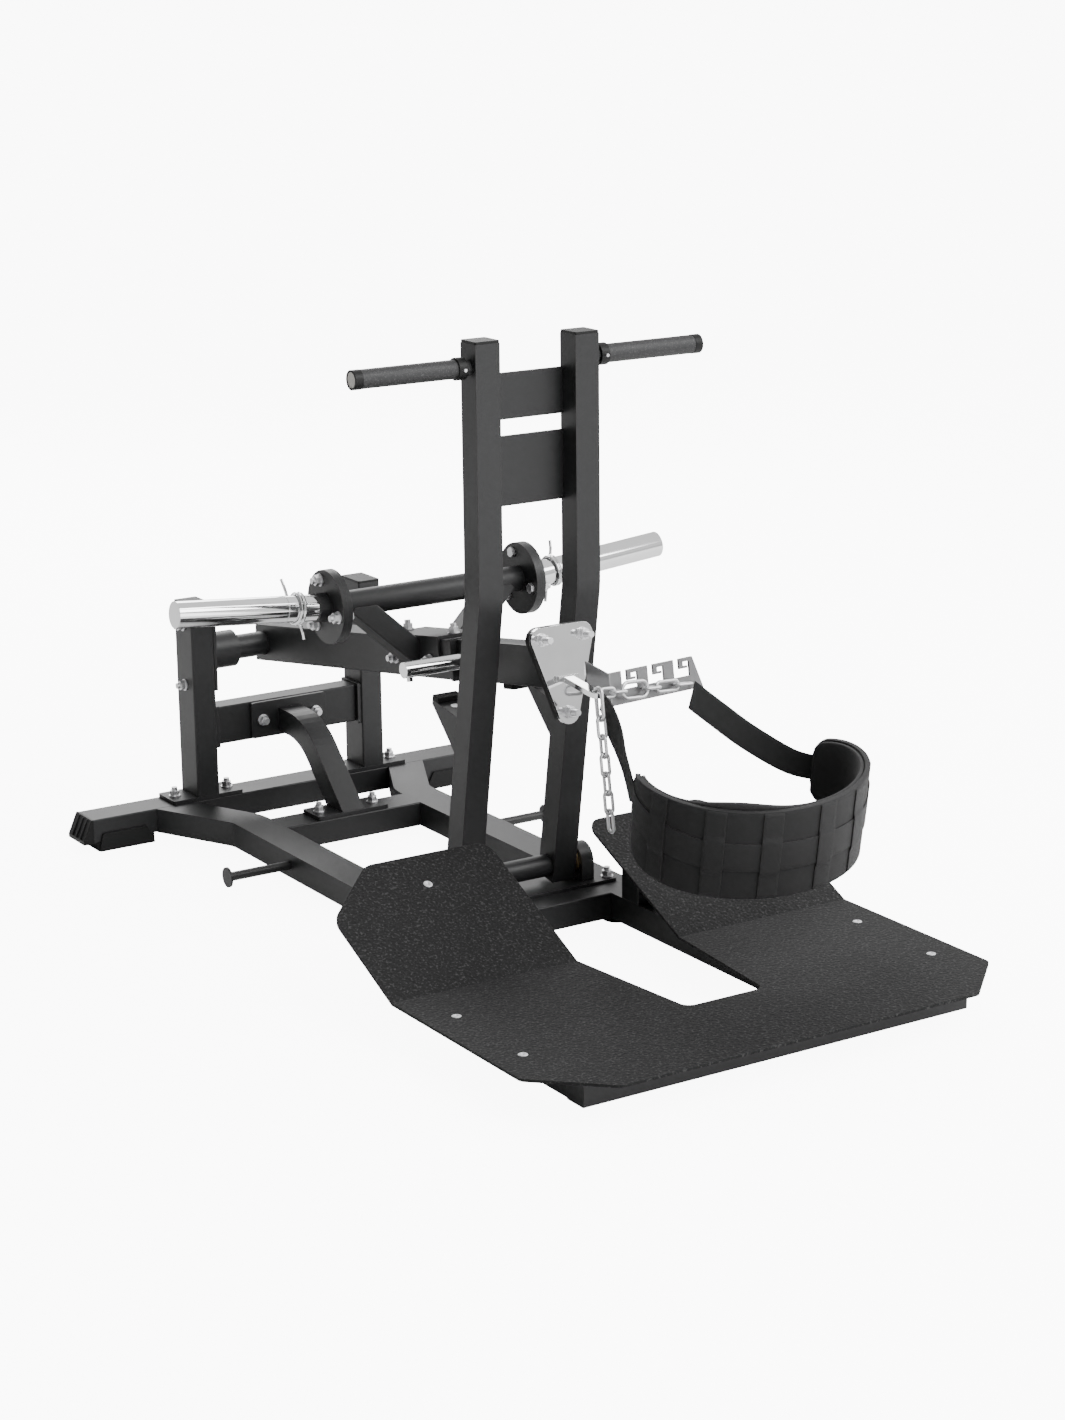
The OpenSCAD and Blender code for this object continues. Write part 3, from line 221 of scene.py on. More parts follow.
def speckle_group() -> bpy.types.NodeTree:
    """Build the fine texture of a coating: a bump height, light specks and wide patches.

    Returns:
        The node group.
    """
    lump_share = 0.6
    lump_reach = 0.6
    speck_from = 0.56
    speck_gain = 9.0
    patch_detail, patch_scale = 4.0, 7.0
    tree, graph, enter, leave = new_group(
        "coating_speckle", [("Scale", 900.0), ("Coarse", 0.3)], ["Height", "Specks", "Patches"])
    where = graph.object_place()
    fine = graph.noise(where, 2.0, enter.outputs["Scale"])
    lumps = graph.add("ShaderNodeTexVoronoi")
    graph.link(where, lumps.inputs["Vector"])
    graph.link(graph.math("MULTIPLY", enter.outputs["Scale"], lump_share), lumps.inputs["Scale"])
    raised = graph.math("SUBTRACT", lump_reach, lumps.outputs["Distance"])
    lump = graph.math("MULTIPLY", raised, enter.outputs["Coarse"])
    graph.link(graph.math("ADD", fine, lump), leave.inputs["Height"])
    sharp = graph.math("MULTIPLY", graph.math("SUBTRACT", fine, speck_from), speck_gain)
    graph.link(graph.math("MINIMUM", graph.math("MAXIMUM", sharp, 0.0), 1.0),
               leave.inputs["Specks"])
    graph.link(graph.noise(where, patch_detail, patch_scale), leave.inputs["Patches"])
    return tree


def edge_group() -> bpy.types.NodeTree:
    """Build soft edges: a rounded normal, and a mask that is 1 along sharp edges.

    Returns:
        The node group.
    """
    edge_gain = 6.0
    tree, graph, enter, leave = new_group("soft_edge", [("Radius", 0.001)], ["Normal", "Edge"])
    bevel = graph.add("ShaderNodeBevel", samples=4)
    graph.link(enter.outputs["Radius"], bevel.inputs["Radius"])
    flat = graph.add("ShaderNodeNewGeometry").outputs["Normal"]
    dot = graph.add("ShaderNodeVectorMath", operation="DOT_PRODUCT")
    graph.link(bevel.outputs[0], dot.inputs[0])
    graph.link(flat, dot.inputs[1])
    graph.link(bevel.outputs[0], leave.inputs["Normal"])
    turned = graph.math("MULTIPLY", graph.math("SUBTRACT", 1.0, dot.outputs["Value"]), edge_gain)
    graph.link(graph.math("MINIMUM", turned, 1.0), leave.inputs["Edge"])
    return tree


def brushed_group() -> bpy.types.NodeTree:
    """Build fine turning marks and smudges for bare and plated metal.

    Returns:
        The node group.
    """
    stretch_along = (1.0, 0.08, 0.08)
    smudge_detail, smudge_scale = 5.0, 22.0
    tree, graph, enter, leave = new_group("turning_marks", [("Scale", 900.0)], ["Height", "Smudge"])
    where = graph.object_place()
    stretch = graph.add("ShaderNodeMapping")
    stretch.inputs["Scale"].default_value = stretch_along
    graph.link(where, stretch.inputs["Vector"])
    graph.link(graph.noise(stretch.outputs[0], 3.0, enter.outputs["Scale"]), leave.inputs["Height"])
    graph.link(graph.noise(where, smudge_detail, smudge_scale), leave.inputs["Smudge"])
    return tree


def weave_group() -> bpy.types.NodeTree:
    """Build a woven webbing: crossing ribs on the piece's own UV map, in millimetres.

    Returns:
        The node group.
    """
    row_shift = 0.5
    pick_power = 0.6
    fuzz_detail, fuzz_scale, fuzz_floor = 2.0, 260.0, 0.4
    tree, graph, enter, leave = new_group(
        "webbing_weave", [("Rib", 1.6), ("Cross", 0.9)], ["Height", "Shade"])
    flat = graph.add("ShaderNodeUVMap", uv_map="UVMap")
    parts = graph.add("ShaderNodeSeparateXYZ")
    graph.link(flat.outputs[0], parts.inputs[0])
    along = graph.math("DIVIDE", parts.outputs[0], enter.outputs["Rib"])
    across = graph.math("DIVIDE", parts.outputs[1], enter.outputs["Cross"])
    row = graph.math("FLOOR", across)
    shifted = graph.math("ADD", along, graph.math("MULTIPLY", row, row_shift))
    rib = graph.math("ABSOLUTE", graph.math("SINE", graph.math("MULTIPLY", shifted, math.pi)))
    pick = graph.math("ABSOLUTE", graph.math("SINE", graph.math("MULTIPLY", across, math.pi)))
    height = graph.math("MULTIPLY", rib, graph.math("POWER", pick, pick_power))
    graph.link(height, leave.inputs["Height"])
    fuzz = graph.math("ADD", graph.noise(graph.object_place(), fuzz_detail, fuzz_scale), fuzz_floor)
    graph.link(graph.math("MULTIPLY", height, fuzz), leave.inputs["Shade"])
    return tree


@dataclass
class Effects:
    """The shared node groups, each built once."""

    speckle: bpy.types.NodeTree = field(default_factory=speckle_group)
    edge: bpy.types.NodeTree = field(default_factory=edge_group)
    marks: bpy.types.NodeTree = field(default_factory=brushed_group)
    weave: bpy.types.NodeTree = field(default_factory=weave_group)


class Shading:
    """One material with its Principled shader and the shared effects.

    Args:
        name: Name of the material.
    """

    def __init__(self, name: str) -> None:
        self.material = bpy.data.materials.new(name)
        self.material.use_nodes = True
        self.graph = Graph(self.material.node_tree)
        self.shader = self.material.node_tree.nodes["Principled BSDF"]

    def place(self, tree: bpy.types.NodeTree, **values: float) -> bpy.types.Node:
        """Place a shared effect with its own numbers.

        Args:
            tree: The node group.
            **values: A number for each named input.

        Returns:
            The group node.
        """
        node = self.graph.add("ShaderNodeGroup", node_tree=tree)
        for name, value in values.items():
            node.inputs[name].default_value = value
        return node

    def set(self, name: str, value: float | tuple[float, ...]) -> None:
        """Set a constant on one of the shader's inputs.

        Args:
            name: Name of the input.
            value: Its value.
        """
        self.shader.inputs[name].default_value = value

    def feed(self, name: str, source: bpy.types.NodeSocket) -> None:
        """Drive one of the shader's inputs by an output.

        Args:
            name: Name of the input.
            source: The output.
        """
        self.graph.link(source, self.shader.inputs[name])

    def bump(self, height: bpy.types.NodeSocket, strength: float, depth: float,
             normal: bpy.types.NodeSocket | None = None) -> None:
        """Drive the shader's normal by a height.

        Args:
            height: The height, from 0 to 1.
            strength: Share of the effect.
            depth: Depth of the relief in metres.
            normal: A normal that the relief is laid over.
        """
        node = self.graph.add("ShaderNodeBump")
        node.inputs["Strength"].default_value = strength
        node.inputs["Distance"].default_value = depth
        self.graph.link(height, node.inputs["Height"])
        if normal is not None:
            self.graph.link(normal, node.inputs["Normal"])
        self.feed("Normal", node.outputs[0])


@dataclass(frozen=True)
class CoatFinish:
    """A powder coat: a dark colour with fine speckle, paler along its edges, where some wear and a
    painted edge highlight are laid into the colour.
    """

    name: str
    base: Color
    fleck: Color
    roughness: float
    scale: float
    coarse: float
    relief: float
    edge_radius: float = 0.0012
    specular: float = 0.5
    # Share of the fleck colour laid along sharp edges: some wear and a painted edge highlight
    edge_wear_and_highlight: float = 0.35
    smoother: float = 0.05
    rougher: float = 0.07
    bump_share: float = 0.5

    def build(self, effects: Effects) -> bpy.types.Material:
        """Build the material.

        Args:
            effects: The shared node groups.

        Returns:
            The material.
        """
        look = Shading(self.name)
        graph = look.graph
        grain = look.place(effects.speckle, Scale=self.scale, Coarse=self.coarse)
        edge = look.place(effects.edge, Radius=self.edge_radius)
        # Paler colour along sharp edges: partly wear, partly a painted highlight
        worn_and_lit_edge = graph.math("MULTIPLY", edge.outputs["Edge"], self.edge_wear_and_highlight)
        mask = graph.math("MINIMUM", graph.math("ADD", grain.outputs["Specks"], worn_and_lit_edge), 1.0)
        look.feed("Base Color", graph.blend(mask, self.base, self.fleck))
        look.feed("Roughness", graph.spread(grain.outputs["Patches"],
                                            self.roughness - self.smoother,
                                            self.roughness + self.rougher))
        look.set("Specular IOR Level", self.specular)
        look.bump(grain.outputs["Height"], self.bump_share, self.relief, edge.outputs["Normal"])
        return look.material


@dataclass(frozen=True)
class MetalFinish:
    """Plated or bare metal with turning marks and faint smudges."""

    name: str
    base: Color
    roughness: float
    smudge: float
    relief: float
    edge_radius: float = 0.0008
    dulled: float = 0.86
    bump_share: float = 0.3

    def build(self, effects: Effects) -> bpy.types.Material:
        """Build the material.

        Args:
            effects: The shared node groups.

        Returns:
            The material.
        """
        look = Shading(self.name)
        marks = look.place(effects.marks)
        edge = look.place(effects.edge, Radius=self.edge_radius)
        dull = tuple(self.dulled * part for part in self.base)
        smudge = marks.outputs["Smudge"]
        look.feed("Base Color", look.graph.blend(smudge, dull, self.base))
        look.feed("Roughness", look.graph.spread(smudge, self.roughness,
                                                 self.roughness + self.smudge))
        look.set("Metallic", 1.0)
        look.bump(marks.outputs["Height"], self.bump_share, self.relief, edge.outputs["Normal"])
        return look.material


@dataclass(frozen=True)
class MouldedFinish:
    """Moulded plastic or rubber with a fine matt grain."""

    name: str
    base: Color
    fleck: Color
    roughness: float
    scale: float
    relief: float
    edge_radius: float = 0.0015
    specular: float = 0.3
    coarse: float = 0.1
    rougher: float = 0.1
    bump_share: float = 0.4

    def build(self, effects: Effects) -> bpy.types.Material:
        """Build the material.

        Args:
            effects: The shared node groups.

        Returns:
            The material.
        """
        look = Shading(self.name)
        grain = look.place(effects.speckle, Scale=self.scale, Coarse=self.coarse)
        edge = look.place(effects.edge, Radius=self.edge_radius)
        look.feed("Base Color", look.graph.blend(grain.outputs["Patches"], self.base, self.fleck))
        look.feed("Roughness", look.graph.spread(grain.outputs["Specks"], self.roughness,
                                                 self.roughness + self.rougher))
        look.set("Specular IOR Level", self.specular)
        look.bump(grain.outputs["Height"], self.bump_share, self.relief, edge.outputs["Normal"])
        return look.material


@dataclass(frozen=True)
class WebbingFinish:
    """Woven nylon: crossing ribs that follow the piece, with a soft sheen."""

    name: str
    base: Color
    thread: Color
    roughness: float
    rib: float
    cross: float
    relief: float
    rougher: float = 0.1
    sheen: float = 0.08
    sheen_roughness: float = 0.5
    bump_share: float = 0.6

    def build(self, effects: Effects) -> bpy.types.Material:
        """Build the material.

        Args:
            effects: The shared node groups.

        Returns:
            The material.
        """
        look = Shading(self.name)
        weave = look.place(effects.weave, Rib=self.rib, Cross=self.cross)
        look.feed("Base Color", look.graph.blend(weave.outputs["Shade"], self.base, self.thread))
        look.feed("Roughness", look.graph.spread(weave.outputs["Height"],
                                                 self.roughness + self.rougher, self.roughness))
        look.set("Sheen Weight", self.sheen)
        look.set("Sheen Roughness", self.sheen_roughness)
        look.bump(weave.outputs["Height"], self.bump_share, self.relief)
        return look.material


@dataclass(frozen=True)
class GripFinish:
    """The handles: a fine grained grip, and the bare face of the bar beyond face_at."""

    name: str
    base: Color
    fleck: Color
    bare: Color
    roughness: float
    face_at: float
    scale: float = 520.0
    coarse: float = 0.5
    relief: float = 0.0003
    bump_share: float = 0.5

    def build(self, effects: Effects) -> bpy.types.Material:
        """Build the material.

        Args:
            effects: The shared node groups.

        Returns:
            The material.
        """
        look = Shading(self.name)
        graph = look.graph
        grain = look.place(effects.speckle, Scale=self.scale, Coarse=self.coarse)
        cloth = graph.blend(grain.outputs["Specks"], self.base, self.fleck)
        where = graph.add("ShaderNodeSeparateXYZ")
        graph.link(graph.object_place(), where.inputs[0])
        reach = graph.math("ABSOLUTE", where.outputs["X"])
        mixed = graph.add("ShaderNodeMix", data_type="RGBA")
        graph.link(graph.math("GREATER_THAN", reach, self.face_at), mixed.inputs["Factor"])
        graph.link(cloth, mixed.inputs["A"])
        mixed.inputs["B"].default_value = (*self.bare, 1)
        look.feed("Base Color", mixed.outputs["Result"])
        look.set("Roughness", self.roughness)
        look.bump(grain.outputs["Height"], self.bump_share, self.relief)
        return look.material


FINISHES = {
    Slot.COAT: CoatFinish("charcoal_powder_coat", (0.0125, 0.0127, 0.0133), (0.026, 0.0265, 0.028),
                          0.42, 1500.0, 0.2, 0.00012),
    Slot.GRIT: CoatFinish("gritty_step_coat", (0.0045, 0.0045, 0.0047), (0.042, 0.042, 0.0425),
                          0.7, 230.0, 1.2, 0.0022, 0.0015, 0.32),
    Slot.CHROME: MetalFinish("bright_chrome", (0.96, 0.962, 0.966), 0.05, 0.05, 0.000004),
    Slot.ZINC: MetalFinish("zinc_plate", (0.84, 0.84, 0.85), 0.34, 0.14, 0.00002),
    Slot.BRASS: MetalFinish("turned_brass", (0.66, 0.5, 0.27), 0.28, 0.12, 0.00002),
    Slot.RUBBER: MouldedFinish("matt_rubber", (0.008, 0.008, 0.008), (0.013, 0.013, 0.013),
                               0.68, 900.0, 0.0002),
    Slot.PLASTIC: MouldedFinish("moulded_black_plastic", (0.004, 0.004, 0.0042),
                                (0.008, 0.008, 0.0082), 0.46, 1300.0, 0.0001),
}
HANDLE_GRIP = GripFinish("knurled_grip", (0.024, 0.024, 0.025), (0.07, 0.07, 0.072),
                         (0.55, 0.54, 0.5), 0.55, 0.36)
RACK_STEEL = MetalFinish("satin_rack_steel", (0.33, 0.33, 0.335), 0.3, 0.12, 0.00001)
SCREW_STEEL = MetalFinish("dull_screw_steel", (0.85, 0.85, 0.86), 0.62, 0.12, 0.00001)
BELT_SHELL = WebbingFinish("belt_shell_weave", (0.0045, 0.0045, 0.005), (0.016, 0.016, 0.0165),
                           0.7, 1.4, 1.4, 0.0004)
BELT_WEBBING = WebbingFinish("flat_webbing", (0.0045, 0.0045, 0.005), (0.014, 0.014, 0.0145),
                             0.6, 1.9, 1.1, 0.0005)
BELT_PAD = WebbingFinish("pad_cloth", (0.014, 0.014, 0.0145), (0.03, 0.03, 0.0305),
                         0.8, 0.9, 0.9, 0.0002)


# ---- Hip belt


def turn_about(axis: str, degrees: float) -> Matrix:
    """Make a rotation about an axis of the machine.

    Args:
        axis: X, Y or Z.
        degrees: Angle of the turn.

    Returns:
        The rotation.
    """
    return Matrix.Rotation(math.radians(degrees), 4, axis)


@dataclass(frozen=True)
class BeltArc:
    """The curve that the hip belt lies on, the same as in the part's source, in metres."""

    half_width: float = 0.207
    depth: float = 0.165
    height: float = 0.171
    half_arc: float = math.radians(122)
    taper: float = 0.38
    place: Matrix = field(default_factory=lambda: Matrix.Translation((0.2056, -0.4859, 0.321))
                          @ turn_about("X", 12.6) @ turn_about("Y", -3.5) @ turn_about("Z", -6.6))

    def half_height(self, s: float) -> float:
        """Give half of the belt's height.

        Args:
            s: Place along the arc, from -1 at the left tip to 1 at the right tip.

        Returns:
            Half of its height there.
        """
        return self.height / 2 * (1 - self.taper * abs(s) ** 6)

    def point(self, s: float, z: float, out: float) -> Vector:
        """Give a point of the belt in the machine's frame.

        Args:
            s: Place along the arc, from -1 to 1.
            z: Height above the belt's middle line.
            out: Distance outwards from the middle of its thickness.

        Returns:
            The point.
        """
        a = self.half_arc * s
        normal = Vector((math.sin(a) / self.half_width, -math.cos(a) / self.depth, 0)).normalized()
        base = Vector((self.half_width * math.sin(a), -self.depth * math.cos(a), z))
        return self.place @ (base + out * normal)

    def step(self, s: float) -> float:
        """Give the length of arc for a unit of s.

        Args:
            s: Place along the arc, from -1 to 1.

        Returns:
            The length in metres.
        """
        a = self.half_arc * s
        return self.half_arc * math.hypot(self.half_width * math.cos(a), self.depth * math.sin(a))


Surface = Callable[[float, float], Vector]


def mapped_sheet(name: str, columns: int, rows: int, surface: Surface, size: tuple[float, float],
                 thickness: float, rim: float) -> bpy.types.Object:
    """Lay a grid on a surface and give it a thickness and a round rim.

    Args:
        name: Name of the piece.
        columns: Number of faces along the surface.
        rows: Number of faces across it.
        surface: Point of the sheet's outer face for u and v, each from 0 to 1.
        size: Length and width of the sheet in metres, for its weave.
        thickness: Thickness in metres, laid inwards.
        rim: Radius of the rim's rounding in metres.

    Returns:
        The finished piece.
    """
    mesh = bmesh.new()
    bmesh.ops.create_grid(mesh, x_segments=columns, y_segments=rows, size=0.5)
    layer = mesh.loops.layers.uv.new("UVMap")
    for face in mesh.faces:
        for loop in face.loops:
            u, v = loop.vert.co.x + 0.5, loop.vert.co.y + 0.5
            loop[layer].uv = (u * size[0] * MM_PER_M, v * size[1] * MM_PER_M)
    for vert in mesh.verts:
        vert.co = surface(vert.co.x + 0.5, vert.co.y + 0.5)
    bmesh.ops.recalc_face_normals(mesh, faces=mesh.faces)
    outwards = sum(face.normal.dot(face.calc_center_median() - CENTRE) for face in mesh.faces)
    if outwards < 0:
        bmesh.ops.reverse_faces(mesh, faces=mesh.faces)
    piece = finish_mesh(name, mesh)
    solid = piece.modifiers.new("thickness", "SOLIDIFY")
    solid.thickness = thickness
    solid.offset = -1.0
    bevel = piece.modifiers.new("rim", "BEVEL")
    bevel.width = rim
    bevel.segments = RIM_SEGMENTS
    bevel.limit_method = "ANGLE"
    bevel.angle_limit = RIM_ANGLE
    return piece


def finish_mesh(name: str, mesh: bmesh.types.BMesh) -> bpy.types.Object:
    """Turn a bmesh into a smooth object at the origin.

    Args:
        name: Name of the piece.
        mesh: Its mesh, which is freed.

    Returns:
        The new object.
    """
    data = bpy.data.meshes.new(name)
    mesh.to_mesh(data)
    mesh.free()
    for face in data.polygons:
        face.use_smooth = True
    piece = bpy.data.objects.new(name, data)
    bpy.context.scene.collection.objects.link(piece)
    return piece


ARC = BeltArc()
CENTRE = ARC.place @ Vector((0, 0, 0))


def catmull(points: Sequence[Vector], u: float) -> Vector:
    """Give a point on the smooth curve through a list of points.

    Args:
        points: The points.
        u: Place along the list, from 0 to 1.

    Returns:
        The point at u.
    """
    k = u * (len(points) - 1)
    i = min(int(k), len(points) - 2)
    f = k - i
    a, b, c, d = (points[max(0, min(len(points) - 1, j))] for j in (i - 1, i, i + 1, i + 2))
    return 0.5 * (2 * b + f * (c - a) + f * f * (2 * a - 5 * b + 4 * c - d)
                  + f ** 3 * (3 * b - a - 3 * c + d))


@dataclass
class HipBelt:
    """The hip belt: a stiff shell, a band round it, upright webbing and a soft inner pad.

    Lengths are in metres. Names that end in _t are thicknesses, those that end in _out or _in
    are distances from the middle of the belt's thickness, and strips, rise_from, rise_to,
    back_at, back_wide and tip_s are places along the arc.
    """

    length: float = 0.82
    inner_length: float = 0.8
    height: float = 0.17
    pad_height: float = 0.165
    columns: int = 120
    rows: int = 14
    shell_out: float = 0.0068
    shell_t: float = 0.0095
    shell_rim: float = 0.0022
    pad_t: float = 0.008
    pad_in: float = 0.0032
    pad_rim: float = 0.0028
    pad_margin: float = 0.003
    crown: float = 0.004
    back_rise: float = 0.014
    back_at: float = -0.25
    back_wide: float = 0.19
    band_half: float = 0.027
    band_t: float = 0.0025
    band_rise: float = 0.02
    rise_from: float = 0.3
    rise_to: float = 0.9
    band_drop: float = 0.002
    strip_half: float = 0.0175
    strip_t: float = 0.0022
    strip_tuck: float = 0.0018
    strip_gap: float = 0.0002
    ramp_from: float = 0.012
    ramp_to: float = 0.002
    strips: tuple[float, ...] = (-0.62, -0.345, -0.115, 0.125, 0.335, 0.62)
    web_rim: float = 0.0006
    edge: float = 0.0015
    corner: float = 0.026
    tip_s: float = 0.985

    def shell_height(self, s: float) -> float:
        """Give half of the shell's height, with its corners rounded at both tips.

        Args:
            s: Place along the arc, from -1 to 1.

        Returns:
            Half of its height there.
        """
        half = ARC.half_height(s)
        left = (1 - abs(s)) * ARC.step(1.0)
        if left < self.corner:
            drop = self.corner - math.sqrt(max(0.0, self.corner ** 2 - (self.corner - left) ** 2))
            half -= drop
        return half

    def band_middle(self, s: float) -> float:
        """Give the height of the band's middle line, which rises to the straps at both tips.

        Args:
            s: Place along the arc, from -1 to 1.

        Returns:
            The height above the belt's middle line.
        """
        rise = self.band_rise * smooth_step(self.rise_from, self.rise_to, abs(s))
        return rise - self.band_drop

    def build_shell(self) -> bpy.types.Object:
        """Build the stiff outer shell.

        Returns:
            The shell.
        """
        def surface(u: float, v: float) -> Vector:
            s = ease_to_ends(2 * u - 1)
            return ARC.point(s, (2 * v - 1) * self.shell_height(s), self.shell_out)
        return mapped_sheet("belt_shell", self.columns, self.rows, surface,
                            (self.length, self.height), self.shell_t, self.shell_rim)

    def build_pad(self) -> bpy.types.Object:
        """Build the soft pad inside, which crowns between its edges and rises at the back.

        Returns:
            The pad.
        """
        def surface(u: float, v: float) -> Vector:
            s = ease_to_ends(2 * u - 1) * self.tip_s
            across = 2 * v - 1
            half = self.shell_height(s) - self.pad_margin
            if across > 0:
                rise = self.back_rise * math.exp(-((s - self.back_at) / self.back_wide) ** 2)
                half += rise * across
            crown = self.crown * (1 - across ** 4) * (1 - abs(s) ** 12)
            return ARC.point(s, across * half, -self.pad_in - crown)
        return mapped_sheet("belt_pad", self.columns, self.rows, surface,
                            (self.inner_length, self.pad_height), self.pad_t, self.pad_rim)

    def build_band(self) -> bpy.types.Object:
        """Build the band that runs round the shell from strap to strap.

        Returns:
            The band.
        """
        def surface(u: float, v: float) -> Vector:
            s = (2 * u - 1) * self.tip_s
            z = (2 * v - 1) * self.band_half + self.band_middle(s)
            return ARC.point(s, z, self.shell_out + self.band_t)
        return mapped_sheet("belt_band", self.columns, 4, surface,
                            (self.inner_length, 2 * self.band_half), self.band_t, self.web_rim)

    def build_strip(self, number: int, s: float) -> bpy.types.Object:
        """Build one upright webbing strip, which goes over the band and under both edges.

        Args:
            number: Number of the strip.
            s: Its place along the arc.

        Returns:
            The strip.
        """
        half_s = self.strip_half / ARC.step(s)
        top = self.shell_height(s)

        def surface(u: float, v: float) -> Vector:
            z = (2 * v - 1) * (top - self.edge)
            over = smooth_step(self.band_half + self.ramp_from, self.band_half + self.ramp_to,
                               abs(z - self.band_middle(s)))
            end = smooth_step(top - 4 * self.edge, top - self.edge, abs(z))
            out = (self.shell_out + self.strip_gap + self.strip_t + over * self.band_t
                   - end * self.strip_tuck)
            return ARC.point(s + (2 * u - 1) * half_s, z, out)
        return mapped_sheet(f"belt_strip_{number}", 6, 40, surface,
                            (2 * self.strip_half, self.height), self.strip_t, self.web_rim)

    def build(self) -> list[bpy.types.Object]:
        """Build and place every piece of the belt.

        Returns:
            The pieces.
        """
        shell, pad, band = self.build_shell(), self.build_pad(), self.build_band()
        strips = [self.build_strip(i + 1, s) for i, s in enumerate(self.strips)]
        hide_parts("hip_belt")
        return [shell, pad, band, *strips]


def ease_to_ends(s: float) -> float:
    """Move grid columns towards both ends, where the outline is round.

    Args:
        s: Place of the column, from -1 to 1.

    Returns:
        Its new place.
    """
    share = 0.35
    return share * math.sin(s * math.pi / 2) + (1 - share) * s


def smooth_step(low: float, high: float, value: float) -> float:
    """Rise smoothly from 0 at low to 1 at high, in either order.

    Args:
        low: Value that gives 0.
        high: Value that gives 1.
        value: The value.

    Returns:
        The share, from 0 to 1.
    """
    f = max(0.0, min(1.0, (value - low) / (high - low)))
    return f * f * (3 - 2 * f)


@dataclass
class Strap:
    """One strap of the belt, from the hook to its end on the belt.

    Args:
        name: Name of the piece.
        middle: Points of its middle line in metres.
        width_way: Direction of its width at each point.
        half: Half of its width.
        thickness: Its thickness.
        slant: Slant of its cut first end, as a share of its width.
        slant_to: Place along the strap where the slant has died out.
        rim: Radius of its rounded edge.
        look_ahead: Step along the strap that gives its direction.
    """

    name: str
    middle: tuple[tuple[float, float, float], ...]
    width_way: tuple[tuple[float, float, float], ...]
    half: float = 0.024
    thickness: float = 0.0032
    slant: float = 0.0
    slant_to: float = 0.3
    rim: float = 0.0007
    look_ahead: float = 0.01

    def build(self) -> bpy.types.Object:
        """Build the strap as one ribbon.

        Returns:
            The strap.
        """
        points = [Vector(p) for p in self.middle]
        ways = [Vector(w).normalized() for w in self.width_way]
        length = sum((b - a).length for a, b in zip(points, points[1:]))

        def surface(u: float, v: float) -> Vector:
            here = catmull(points, u)
            ahead = (catmull(points, min(1.0, u + self.look_ahead))
                     - catmull(points, max(0.0, u - self.look_ahead)))
            way = catmull(ways, u)
            tangent = ahead.normalized()
            way = (way - tangent * way.dot(tangent)).normalized()
            cut = self.slant * smooth_step(self.slant_to, 0.0, u)
            return here + (way + cut * tangent) * (2 * v - 1) * self.half

        piece = mapped_sheet(self.name, 64, 6, surface, (length, 2 * self.half), self.thickness,
                             self.rim)
        piece.modifiers["thickness"].offset = 0.0
        return piece


STRAPS = (
    Strap("left_strap",
          ((0.0142, -0.306, 0.5), (0.0146, -0.326, 0.484), (0.0155, -0.344, 0.454),
           (0.0185, -0.358, 0.42), (0.0225, -0.369, 0.39), (0.025, -0.378, 0.362),
           (0.025, -0.385, 0.333)),
          ((-0.2, -0.9, 0.34), (-0.08, -0.9, 0.38), (0, -0.9, 0.4), (-0.2, -0.9, 0.3),
           (-0.28, -0.93, 0.24), (-0.3, -0.93, 0.2), (-0.4, -0.9, 0.15))),
    Strap("right_strap",
          ((0.2592, -0.2333, 0.4595), (0.287, -0.272, 0.428), (0.322, -0.322, 0.39),
           (0.366, -0.3855, 0.3535), (0.395, -0.432, 0.345)),
          ((0.6, 0, 0.8), (0.5, 0, 0.85), (0.4, 0, 0.9), (0.1, 0, 1), (-0.06, -0.2, 0.97)),
          slant=-0.45),
)


# ---- Dressing


def dress(piece: bpy.types.Object, material: bpy.types.Material, slot: Slot, body: str) -> None:
    """Give a new piece its material and let it ride on a body.

    Args:
        piece: The piece.
        material: Its material.
        slot: The record's slot that it belongs to; it is not used.
        body: The body it rides on.
    """
    piece.data.materials.append(material)
    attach(piece, body)
    LOG.info("%s: %d faces", piece.name, len(piece.data.polygons))


